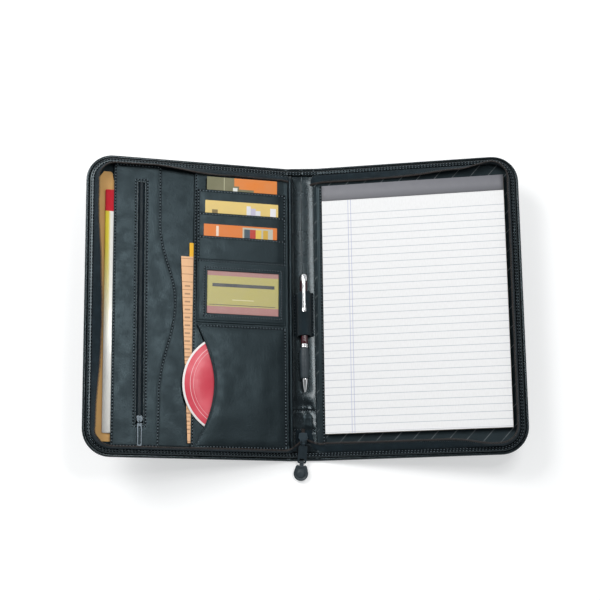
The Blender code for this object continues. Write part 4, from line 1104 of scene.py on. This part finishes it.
def panel_roll():
    """The rolled edge of the card panel, which turns down over the side of the pockets on to the spine."""
    points = [(7.0, 7.9), (2.0, 8.3), (-0.6, 8.0), (-2.0, 9.6), (-3.8, 10.0), (-5.0, 8.4), (-4.9, 5.0),
              (-5.2, 0.6)]
    profile = through([(x, 0.0, z) for x, z in points], 40)

    def place(y, p):
        shift = 1.2 + 0.9 * (y / FIELD) + 0.35 * ripple(y, 0, 22.0, 8.0)
        flat = 0.55 + 0.45 * smooth((FIELD - abs(y)) / 8.0)
        return bent(-1, p.x - shift + 1.0, y, p.z * flat + 0.25 * ripple(p.z, y, 12.0, 9.0))

    roll = surface(steps_down(FIELD - 1.0, 1.0 - FIELD, 90), profile, place)
    add("rolled_panel_edge", (*roll, 3.0), "pocket_leather", across=-1, stands_for=["card_panel_roll"],
        thick=0.7)


# ---------------------------------------------------------------- papers, cards and disc


def thin_sheet(name, outline, base, look, body, matrix, stands_for, wave=0.05):
    """A slightly wavy sheet of paper; outline is (left, right, bottom, top)."""
    shape = panel(*outline, lambda x, y, edge: base + wave * ripple(x, y, 55.0, base), step=6.0)
    add(name, shape, look, body, matrix, stands_for, 0.1)


def rounded(x0, x1, y0, y1, radius, steps=6):
    """A rectangle's outline with round corners."""
    corners = ((x1 - radius, y1 - radius, 0), (x0 + radius, y1 - radius, 90), (x0 + radius, y0 + radius, 180),
               (x1 - radius, y0 + radius, 270))
    outline = []
    for cx, cy, start in corners:
        for i in range(steps + 1):
            t = math.radians(start + 90 * i / steps)
            outline.append((cx + radius * math.cos(t), cy + radius * math.sin(t)))
    return outline


def extruded(outline, low, high):
    """A flat plate from an outline."""
    n = len(outline)
    verts = [(x, y, h) for h in (low, high) for x, y in outline]
    return verts, caps(2 * n, n) + [(i, (i + 1) % n, n + (i + 1) % n, n + i) for i in range(n)]


def plate(name, outline, low, high, look, body, matrix, stands_for):
    """A flat plate with softened edges."""
    add(name, extruded(outline, low, high), look, body, matrix, stands_for, round_edge=0.12)


def folder_and_booklet():
    """The manila folder with its tab, and the booklet of six leaves in front of it."""
    tab = [(-12.0, -160.0), (-12.0, 144.8), (-208.5, 144.8), (-210.2, 146.5), (-211.4, 154.2),
           (-213.4, 155.8), (-221.5, 155.8), (-228.5, 146.0), (-229.0, 130.0), (-229.0, -140.0),
           (-226.0, -152.0), (-219.5, -160.0)]
    plate("folder_card", tab, 2.0, 2.5, "manila", **LEFT, stands_for=["manila_folder"])
    outline = rounded(-219.5, -9.5, -150.6, 133.6, 1.5)
    leaves = [extruded(outline, 2.95 + 0.19 * i, 3.1 + 0.19 * i) for i in range(6)]
    add("booklet_pages", merge(leaves), "booklet", "booklet", LEFT["matrix"], ["booklet"])


def note_and_receipt():
    """The amber note and the long receipt, whose left edge slants."""
    left = LEFT["matrix"]
    thin_sheet("amber_slip", (-120.3, -44.1, -1.2, 75.0), 6.72, "amber", "amber_note", left, ["amber_note"])
    outline = (lambda y: -122.0 - (y + 160.0) * 8.4 / 218.4, -52.0, -160.0, 58.4)
    thin_sheet("receipt_sheet", outline, 7.12, "receipt", "receipt", left, ["receipt"])


def cards():
    """The three cards in their slots, 54 mm high, and the identity card behind the window."""
    spans = ((101.1, 15.4, 155.7), (103.1, 14.2, 126.7), (104.8, 15.9, 97.8))
    for slot, (outer, inner, top) in enumerate(spans):
        name = f"card_{slot + 1}"
        outline = rounded(-outer, -inner, top - 54.0, top, 0.7, 3)
        plate(name + "_print", outline, 0.0, 0.4, name, name, slot_matrix(SLOT_Y - slot * CARD_PITCH), [name])
    outline, matrix = rounded(-102.0, -12.5, -10.2, 44.0, 1.0), slot_matrix(SLOT_Y - 3 * CARD_PITCH)
    plate("id_card_print", outline, 0.0, 0.45, "id_card", "id_card", matrix, ["id_card"])


def disc():
    """The 120 mm disc, with its hub hole, moulded ring and stacking rib."""
    profile = [(7.5, 9.4), (7.5, 10.6), (16.5, 10.6), (16.9, 10.35), (17.9, 10.35), (18.3, 10.6),
               (59.4, 10.6), (60.0, 10.3), (60.0, 9.7), (59.4, 9.4), (17.5, 9.4), (17.2, 9.1), (16.8, 9.4)]
    cx, cy = -DISC_CENTRE[0], DISC_CENTRE[1]
    verts, faces = surface(profile, turn_angles(120),
                           lambda p, t: (cx + p[0] * math.cos(t), cy + p[0] * math.sin(t), p[1]), around=True)
    add("disc_face", (verts, faces + closing(len(verts), 120)), "disc", "disc", LEFT["matrix"], ["disc"])


# ---------------------------------------------------------------- inner pocket zip


def pocket_zip():
    """The inner pocket's zip: its tapes and closed coil teeth."""
    tapes = panel(-188.0, -167.0, -145.0, 150.0, lambda x, y, edge: 4.85, step=5.0)
    add("pocket_tapes", tapes[:2], "tape", **LEFT, stands_for=["pocket_zip_tape"], thick=0.4)
    length = 283.0
    teeth = straight_coils(-ZIP_SLOT, 144.0, 144.0 - length, 5.7, 0.65, 0.5, round(length / (1.3 / 8)),
                           ring(0.27, 0.27, 4), math.pi)
    add("pocket_coil_teeth", teeth, "dark_coil", **LEFT, stands_for=["pocket_zip_coil"])


def pocket_slider():
    """The inner pocket's slider with its bridge, and the pull that hangs from it."""
    half = [(0.9, 4.0), (2.4, 4.0), (3.6, 2.4), (3.5, -1.5), (2.2, -4.0)]
    outline = [(-x, y) for x, y in half[3:]] + half[::-1] + [(0.0, 2.9)] + [(-x, y) for x, y in half[:3]]
    body = extruded([(x - ZIP_SLOT, y - 134.0) for x, y in outline], 6.6, 8.1)
    arc = [Vector((-ZIP_SLOT, -139.3 + 0.64 * i, 7.7 + 1.1 * math.sin(math.pi * i / 10))) for i in range(11)]
    shape = merge([body, sweep(arc, ring(0.9, 0.45, 8))])
    add("pocket_slider_body", shape, "pull_metal", "pocket_slider", LEFT["matrix"], ["pocket_zip_slider"],
        round_edge=0.3)
    outline, hole = rounded(-2.8, 2.8, -26.0, 0.6, 2.0), rounded(-1.3, 1.3, -24.0, -3.2, 1.25)
    tab = framed_plate(outline, hole, -0.55, 0.55)
    matrix = LEFT["matrix"] @ Matrix.Translation(Vector((-ZIP_SLOT, -139.2, 7.5)) * MM)
    add("pocket_pull_tab", tab, "pull_metal", "pocket_pull", matrix, ["pocket_zip_pull"], round_edge=0.25)


def framed_plate(outer, inner, low, high):
    """A plate with a hole, whose two outlines have the same number of points."""
    n = len(outer)
    verts = [(x, y, h) for h in (low, high) for loop in (outer, inner) for x, y in loop]
    faces = []
    for i in range(n):
        j = (i + 1) % n
        faces.append((2 * n + i, 2 * n + j, 3 * n + j, 3 * n + i))
        faces.append((n + i, n + j, j, i))
        faces.append((i, j, 2 * n + j, 2 * n + i))
        faces.append((3 * n + i, 3 * n + j, n + j, n + i))
    return verts, faces


# ---------------------------------------------------------------- writing pad


def pad_pocket():
    """The panel that holds the pad, and its stitched leather strip along the fold."""
    inset, start = TAPE_INSET + 1.0, 1.5

    def height(x, y, edge):
        return 2.8 + 0.3 * smooth(edge / 15.0) * ripple(x, y, 38.0, 11.0) - 0.4 * math.exp(-edge / 0.6)

    shape = panel(start, lambda y: min(231.0, reach_at(y, inset)), -FIELD, FIELD, height)
    cloth = add("pad_pocket_cloth", shape, "lining", **RIGHT, stands_for=["pad_panel"], thick=0.7,
                round_edge=0.25)
    leather_panel("pad_strip_leather", (0.8, 8.0, -161.0, 153.0), 4.1, "pad_panel_strip", 0.9, 0.2, side=1)
    sew("pad_strip_stitching", [seam(4.0, (6.0, 151.0), (6.0, -159.0))], "pocket_leather", **RIGHT)


def pad_block():
    """The pad's backing card and its block of sheets, in layers that are not quite square."""
    outline = rounded(PAD_LEFT, PAD_RIGHT, PAD_BOTTOM, PAD_TOP, 0.8, 2)
    plate("pad_back_card", outline, 3.1, 5.0, "backing", **RIGHT, stands_for=["pad_backing"])
    layers, count, depth = [], 9, 3.15
    for i in range(count):
        dx, dy = 0.25 * ripple(i * 3.1, 0.0, 1.0, 3.0), 0.3 * ripple(i * 2.3, 5.0, 1.0, 6.0)
        low = 5.3 + depth * i / count
        left, right, bottom = PAD_LEFT + 0.3 + dx, PAD_RIGHT - 0.3 + dx, PAD_BOTTOM + 0.3 + dy
        outline = rounded(left, right, bottom, PAD_TOP - 0.2, 0.8, 2)
        layers.append(extruded(outline, low, low + depth / count - 0.03))
    add("pad_sheet_stack", merge(layers), "page_edges", **RIGHT, stands_for=["pad_sheets"])


def pad_header():
    """The grey card folded over the pad's top edge."""
    profile = [(0.25, 5.4), (0.3, 8.2), (0.1, 8.9), (-0.6, 9.1), (-9.0, 9.08), (-HEADER, 9.02)]
    xs = [PAD_LEFT + PAD_WIDTH * i / 40 for i in range(41)]
    header = surface(xs, profile, lambda x, p: (x, PAD_TOP + p[0], p[1]))
    add("pad_header_card", header, "header", **RIGHT, stands_for=["pad_header"], thick=0.2)


def pad_pages():
    """The top sheet, which turns, and the next one under it."""

    def height(x, y, edge):
        curl = 0.35 * smooth((20.0 - (y - PAD_BOTTOM)) / 20.0)
        return 8.85 + curl * (0.5 + 0.5 * ripple(x, 0.0, 80.0, 1.0))

    page = panel(PAD_LEFT, PAD_RIGHT, PAD_BOTTOM, PAD_FOLD - 0.3, height, step=8.0)
    add("ruled_top_sheet", page, "ruled", "top_sheet", RIGHT["matrix"], ["top_sheet"], 0.1)
    outline = (PAD_LEFT + 0.3, PAD_RIGHT - 0.3, PAD_BOTTOM + 0.3, PAD_FOLD - 0.3)
    thin_sheet("ruled_next_sheet", outline, 8.58, "ruled", **RIGHT, stands_for=(), wave=0.04)


# ---------------------------------------------------------------- spine


def lining_height(x, y):
    """Height of the spine's padded lining above the table."""
    across = max(0.0, 1 - (abs(x) / 15.2) ** 2)
    under_pen = smooth((y + 104.0) / 10.0) * smooth((165.0 - y) / 10.0)
    under_zip = smooth((-100.0 - y) / 14.0)
    crown = 2.0 - 1.0 * under_zip
    dent = 0.9 * under_pen * math.exp(-(((x - PEN_X) / 8.0) ** 2))
    groove = sum(0.8 * math.exp(-((y - s) ** 2)) for s in SEAMS_ACROSS_SPINE)
    crease = 0.6 * ripple(x * 0.9, y * 0.7, 5.4, 12.0) * under_zip + 0.08 * ripple(x, y, 16.0, 14.0)
    end = 0.9 * smooth((abs(y) - 158.0) / 9.0)
    return 2.9 + (crown - groove + crease - end) * across - dent


def spine_strip():
    """The spine's outer leather strip."""
    half = CASE_LENGTH / 2 - 3.2
    section = rounded(-16.6, 16.6, 0.02, 2.2, 0.9, 4)

    def place(y, corner):
        x, z = corner
        return x, y, z + (0.05 * abs(ripple(x, y, 9.0, 3.0)) if z > 0.1 else 0.0)

    verts, faces = surface([-half + 2 * half * i / 80 for i in range(81)], section, place, around=True)
    shape = (verts, flipped(faces + caps(len(verts), len(section))), 2.0)
    add("spine_outer_leather", shape, "case_leather", "spine", stands_for=["spine_leather"])


def spine_lining():
    """The spine's padded lining, in two halves that meet along its middle, and its seams."""
    ys = [-167.0 + 334.0 * i / 240 for i in range(241)]
    for side in (-1, 1):
        xs = [side * (HINGE_X + 2.0) * i / 24 for i in range(25)]
        verts, faces = surface(ys, xs, lambda y, x: (x, y, lining_height(x, y)))
        shape = (verts, flipped(faces) if side < 0 else faces, 3.0)
        piece = add(SIDE_NAME[side] + "_spine_lining", shape, "lining_leather", across=side,
                    stands_for=["spine_lining"] if side < 0 else (), thick=0.8)
    xs = [i * 0.5 for i in range(-24, 28)]
    paths = [[Vector((x, y, lining_height(x, y) + 0.02)) for x in xs] for y in (-118.2, -140.2, -143.0)]
    sew("spine_seam_stitching", paths, "lining", "spine", pitch=3.0, radius=0.3)


def pen_loop():
    """The elastic loop: a ribbed band over the pen, sewn flat to the spine on both sides."""
    profile = [(-11.0, 4.5), (-9.2, 4.55), (-7.4, 4.9), (-6.2, 7.0), (-5.9, 10.0), (-4.9, 13.4),
               (-2.6, 16.0), (0.4, 17.2), (3.2, 17.1), (6.0, 15.6), (8.2, 12.8), (9.2, 9.6), (9.3, 6.8),
               (10.4, 4.9), (11.9, 4.55), (13.0, 4.5)]

    def place(t, p):
        y = 22.5 - 53.0 * t
        sag = 0.35 * math.cos(math.pi * (2 * t - 1)) - 0.35
        rib = 0.10 * math.cos(2 * math.pi * y / 2.4)
        bow = -1.6 * smooth((2.0 - p.x) / 10.0) * smooth(1 - t) if p.x < 2 else 0.0
        return p.x, y + bow, p.z + (rib + sag * 0.4) * smooth((p.z - 4.6) / 3.0)

    verts, faces = surface([i / 60 for i in range(61)], through([(x, 0.0, z) for x, z in profile], 60), place)
    add("elastic_loop", (verts, flipped(faces)), "elastic", "spine", stands_for=["pen_loop"], thick=0.6,
        round_edge=0.2)
    paths = [seam(4.72, (x, 20.5), (x, -28.5)) for x in (-9.4, 11.6)]
    sew("loop_stitching", paths, "zip_tape", "spine", radius=0.28)


def zip_end():
    """The joined end of the long zip on the spine: tape and teeth."""
    tape = panel(-9.6, lambda y: 9.0 + 0.3 * max(-145.0 - y, 0.0), -157.0, -141.0,
                 lambda x, y, edge: 4.35 + 0.1 * ripple(x, y, 5.0, 2.0), step=1.5)
    add("zip_tail_tape", tape[:2], "tape", "spine", stands_for=["zip_end_tape"], thick=0.5)
    teeth = straight_coils(SLIDER_X, -153.0, -140.0, 5.3, 0.9, 0.6, 84, ring(0.32, 0.32, 5))
    add("zip_tail_teeth", teeth, "coil", "spine")


def leather_tongue():
    """The domed leather tongue over the zip's end."""
    outline = rounded(-0.9, 10.4, -141.0, -122.3, 4.6)
    cx, cy = 4.75, -131.65
    rows = 20
    verts, edges = [], []
    for i in range(rows + 1):
        share = 1 - (i / rows) ** 1.6
        edge = (1 - share) * 5.6
        for x, y in outline:
            px, py = cx + (x - cx) * share, cy + (y - cy) * share
            dome = 0.7 * smooth(edge / 3.0) - 0.3 * math.exp(-edge / 0.4)
            verts.append((px, py, 4.75 + dome + 0.15 * ripple(px, py, 4.0, 7.0)))
            edges.append(edge)
    shape = (verts, grid_faces(rows + 1, len(outline), around=True), edges)
    add("leather_tongue", shape, "pocket_leather", "spine", stands_for=["zip_tongue"], thick=0.6)


def main_slider():
    """The long zip's slider: two plates joined by a post, and two ears with the pin of the pull."""
    x, y = SLIDER_X, SLIDER_Y
    half = [(1.7, -6.4), (4.9, -2.8), (5.7, -1.2), (5.0, 1.4), (4.3, 4.2)]
    top = [(-px, py) for px, py in half[::-1]] + [(0.0, -6.9)] + half + [(0.0, 4.6)]
    parts = [extruded([(x + px, y + py) for px, py in top], 7.0, 8.3),
             extruded([(x + px * 0.96, y + py) for px, py in top], 4.7, 5.6),
             extruded([(x + px, y + py) for px, py in rounded(-1.3, 1.3, -5.0, 0.5, 1.2, 4)], 5.5, 7.1)]
    ear = [(-0.5, 8.2), (-3.5, 9.8), (-8.0, 10.0), (-9.6, 9.2), (-9.7, 7.9), (-8.4, 7.1), (-3.5, 7.4)]
    n = len(ear)
    for offset in (-3.1, 3.1):
        verts = [(x + offset + d, y + py, pz) for d in (-0.6, 0.6) for py, pz in ear]
        rim_faces = [((i + 1) % n, i, n + i, n + (i + 1) % n) for i in range(n)]
        parts.append((verts, flipped(caps(2 * n, n)) + rim_faces))
    pin = [Vector((x + d, PULL_PIN_Y, PULL_PIN_Z)) for d in (-3.3, 0.0, 3.3)]
    parts.append(sweep(pin, ring(0.8, 0.8, 14)))
    add("slider_body", merge(parts), "black_metal", "spine", stands_for=["main_zip_slider"], round_edge=0.25)


def knuckle(half):
    """A short rod across a pull, round its pin."""
    return sweep([Vector((d, 0.0, 0.0)) for d in (-half, 0.0, half)], ring(2.0, 2.0, 16))


def long_pull():
    """The metal pull plate on the slider's pin, turned as in the photo, with the rubber grip on its end."""
    slope = math.radians(8.5)
    sideways = Matrix.Rotation(math.radians(-5.5), 4, "Z")
    pin = Matrix.Translation(Vector((SLIDER_X, PULL_PIN_Y, PULL_PIN_Z)) * MM)
    axis = pin @ sideways @ Matrix.Rotation(slope, 4, "X")
    outline, hole = rounded(-5.2, 5.2, -22.8, -2.4, 2.0), rounded(-3.0, 3.0, -21.2, -17.5, 1.0)
    frame_plate = framed_plate(outline, hole, -0.6, 0.6)
    web = extruded(rounded(-1.8, 1.8, -3.2, -0.8, 0.4, 2), -0.6, 0.6)
    add("pull_strap", merge([frame_plate, knuckle(1.9), web]), "black_metal", "pull_plate", axis,
        ["main_pull_plate"], round_edge=0.3)
    turn = Matrix.Rotation(math.radians(7.0) - slope, 4, "X")
    grip = axis @ Matrix.Translation(Vector((0.0, -22.0, 0.0)) * MM) @ turn
    neck = extruded(rounded(-2.4, 2.4, -5.2, -1.2, 0.5, 2), -1.0, 1.2)
    add("grip_tab", merge([grip_shell(), knuckle(2.5), neck]), "rubber", "pull_grip", grip, ["rubber_grip"],
        round_edge=0.2)


def grip_shell():
    """The rubber grip: a round tab with a raised rim and a domed round boss in its middle."""
    centre_y, wide, boss = -12.5, 8.5, 7.6
    outline = [(-4.4, -2.6), (-6.4, -4.0)]
    for t in range(160, 381, 10):
        angle = math.radians(t)
        outline.append((wide * math.cos(angle), centre_y + wide * math.sin(angle)))
    outline += [(6.4, -4.0), (4.4, -2.6), (0.0, -4.2)]
    levels = ((1.0, -1.0), (1.0, 0.9), (0.965, 1.45), (0.90, 1.6), (0.84, 1.4), (0.80, 0.9), (0.66, 0.8),
              (0.60, 1.5), (0.52, 2.1), (0.30, 2.35), (0.05, 2.4))

    def place(level, corner):
        share, h = level
        x, y = corner[0] * share, (corner[1] - centre_y) * share
        away = math.hypot(x, y) or 1.0
        roundness = smooth((0.85 - share) / 0.25)
        x += (x / away * boss * share - x) * roundness
        y += (y / away * boss * share - y) * roundness
        return x, centre_y + y, h

    verts, faces = surface(levels, outline, place, around=True)
    return verts, faces + caps(len(verts), len(outline))


# ---------------------------------------------------------------- pen


def turned(profile, steps=48, bored=False):
    """Points and faces of a shape turned about the pen's axis; profile is (radius, y) from top to bottom.

    A bored shape's profile comes back up inside it to where it started.
    """
    verts, faces = surface(profile, turn_angles(steps), lambda p, t: (
        PEN_X + p[0] * math.cos(t), p[1], PEN_Z + p[0] * math.sin(t)), around=True)
    faces += closing(len(verts), steps) if bored else caps(len(verts), steps)
    return verts, flipped(faces)


def bead(points, per=6):
    """A smooth profile through (radius, y) points."""
    return [(p.x, p.y) for p in through([(r, y, 0.0) for r, y in points], per * (len(points) - 1))]


def pen():
    """Chrome cap, burgundy barrel, twist ring, rubber grip, tip and refill."""
    cap = bead([(0.3, 44.5), (2.6, 44.1), (4.2, 42.6), (4.9, 40.2), (4.95, 38.0), (4.9, 36.2), (4.6, 35.0)])
    tube = bead([(4.15, 34.3), (4.12, 10.0), (4.05, -15.0), (4.15, -40.0)], 8)
    barrel = [(3.9, 34.7)] + tube + [(3.9, -40.3)]
    rings = [(4.3, -40.6), (4.8, -40.9), (4.85, -42.2), (4.45, -42.5), (4.45, -42.9), (4.85, -43.2),
             (4.85, -45.0), (4.5, -45.4)]
    grip = bead([(4.9, -45.7), (5.6, -48.0), (6.05, -54.0), (6.1, -60.0), (5.9, -68.0), (5.4, -76.0),
                 (4.9, -81.2)], 5)
    ribbed = [(r - (0.16 if -76.0 < y < -50.0 and i % 3 == 0 else 0.0), y) for i, (r, y) in enumerate(grip)]
    tip = bead([(3.7, -82.0), (3.6, -84.0), (3.2, -88.0), (2.3, -93.0), (1.4, -97.0), (1.25, -97.4)])
    bore = [(0.75, -97.4), (0.8, -86.0), (1.6, -83.5), (1.6, -82.0)]
    refill = [(1.2, 5.0), (1.2, -76.5), (0.6, -77.1), (0.6, -95.6), (0.35, -97.0)]
    for name, shape, look, body, node in (
            ("pen_crown", turned(cap), "chrome", "pen", "pen_cap"),
            ("pen_tube", turned(barrel), "burgundy", "pen", "pen_barrel"),
            ("pen_twist_ring", turned(rings), "chrome", "pen_lower", "pen_ring"),
            ("pen_soft_grip", turned(ribbed + [(4.2, -81.7)]), "rubber", "pen_lower", "pen_grip"),
            ("pen_cone", turned(tip + bore, bored=True), "chrome", "pen_lower", "pen_tip"),
            ("pen_ink_refill", turned(refill, 20), "refill", "refill", "pen_refill")):
        add(name, shape, look, body, stands_for=[node])


def pen_clip():
    """The clip: a narrow sprung blade, rounded across, that flares near its rounded end."""
    points = [(39.8, 15.3), (40.6, 17.0), (39.4, 18.4), (34.0, 19.0), (22.0, 18.8), (8.0, 18.5), (0.5, 18.3),
              (-3.0, 18.9)]
    line = through([(0.0, y, z) for y, z in points], 50)

    def place(i, u):
        t, p = i / 50, line[i]
        half = 2.3 - 0.4 * smooth((t - 0.12) / 0.3) + 0.6 * smooth((t - 0.72) / 0.22)
        if t > 0.94:
            half *= math.sqrt(max(0.1, 1 - ((t - 0.94) / 0.065) ** 2))
        drop = half * (1.5 - math.sqrt(2.25 - u * u))
        return PEN_X + half * u, p.y, min(p.z + 0.15, 19.15) - drop

    verts, faces = surface(range(51), (-1.0, -0.85, -0.6, -0.3, 0.0, 0.3, 0.6, 0.85, 1.0), place)
    add("pen_spring_clip", (verts, flipped(faces)), "chrome", "pen", stands_for=["pen_clip"], thick=0.55,
        round_edge=0.12)


# ---------------------------------------------------------------- a CAD shape that stays, and the stage


def dress_cad_nodes():
    """Materials for the CAD nodes that keep their own shapes."""
    for node in ("left_stiffener", "right_stiffener"):
        mesh = frame["nodes"][node].data
        mesh.materials.clear()
        mesh.materials.append(LOOKS["board"])


def floor():
    """A plain pale table top."""
    look = Look("table_top", roughness=0.9, Specular_IOR_Level=0.1, Emission_Color=(1.0, 1.0, 1.0, 1.0),
                Emission_Strength=0.42)
    look.bump(look.noise(40.0, 2.0), 0.02)
    material = look.done(look.mix(look.noise(400.0), (0.70, 0.70, 0.70), (0.73, 0.73, 0.73)))
    mesh = build_mesh("table_top", [(-4000, -4000, 0), (4000, -4000, 0), (4000, 4000, 0), (-4000, 4000, 0)],
                      [(0, 1, 2, 3)])
    table = bpy.data.objects.new("table_top", mesh)
    table.location.z = -0.1 * MM
    mesh.materials.append(material)
    bpy.context.scene.collection.objects.link(table)


def area_light(name, place, target, size, power):
    """A square soft box that points at a target."""
    light = bpy.data.lights.new(name, "AREA")
    light.size = size
    light.energy = power
    lamp = bpy.data.objects.new(name, light)
    lamp.location = place
    lamp.rotation_euler = (Vector(target) - Vector(place)).to_track_quat("-Z", "Y").to_euler()
    bpy.context.scene.collection.objects.link(lamp)


def lights():
    """Studio light: a large key from the upper left, two small ones from the right, a surround dark above."""
    world = bpy.data.worlds.new("studio")
    world.use_nodes = True
    nodes, links = world.node_tree.nodes, world.node_tree.links
    split = nodes.new("ShaderNodeSeparateXYZ")
    links.new(nodes.new("ShaderNodeTexCoord").outputs["Generated"], split.inputs[0])
    fade = nodes.new("ShaderNodeMapRange")
    for socket, value in zip(fade.inputs[1:], (0.25, 1.0, 0.85, 0.12)):
        socket.default_value = value
    links.new(split.outputs["Z"], fade.inputs[0])
    links.new(fade.outputs[0], nodes["Background"].inputs["Strength"])
    nodes["Background"].inputs["Color"].default_value = (0.94, 0.98, 1.0, 1.0)
    bpy.context.scene.world = world
    area_light("key", (-1.2, 1.05, 1.6), (0.0, 0.0, 0.0), 1.0, 29.0)
    area_light("kicker", (0.42, 0.5, 1.5), (-0.05, 0.02, 0.0), 0.4, 4.6)
    area_light("overhead", (0.56, 0.2, 1.55), (0.0, -0.05, 0.0), 0.22, 2.8)
    bpy.context.scene.view_settings.view_transform = "Standard"


def camera():
    """The camera looks down steeply from the front, as a product photographer's would."""
    distance, elevation, azimuth, roll = 1.846, math.radians(77.25), math.radians(-0.56), math.radians(-0.13)
    target = Vector((-0.003, 0.015, 0.0))
    back = Vector((math.sin(azimuth) * math.cos(elevation), -math.cos(azimuth) * math.cos(elevation),
                   math.sin(elevation)))
    data = bpy.data.cameras.new("camera")
    data.lens = 93.3
    data.sensor_width = 36.0
    viewer = bpy.data.objects.new("camera", data)
    right = (-back).cross(Vector((0, 0, 1))).normalized()
    up = right.cross(-back)
    turned_right = right * math.cos(roll) + up * math.sin(roll)
    turned_up = up * math.cos(roll) - right * math.sin(roll)
    rotation = Matrix((turned_right, turned_up, back)).transposed()
    viewer.matrix_world = Matrix.Translation(target + back * distance) @ rotation.to_4x4()
    bpy.context.scene.collection.objects.link(viewer)
    bpy.context.scene.camera = viewer


def build():
    for side in (-1, 1):
        cover_sheets(side)
        piping_and_binding(side)
        zip_halves(side)
    left_pockets()
    left_pocket_seams()
    card_slots()
    disc_pocket()
    panel_roll()
    folder_and_booklet()
    note_and_receipt()
    cards()
    disc()
    pocket_zip()
    pocket_slider()
    pad_pocket()
    pad_block()
    pad_header()
    pad_pages()
    spine_strip()
    spine_lining()
    pen_loop()
    zip_end()
    leather_tongue()
    main_slider()
    long_pull()
    pen()
    pen_clip()
    dress_cad_nodes()
    floor()
    lights()
    camera()


build()
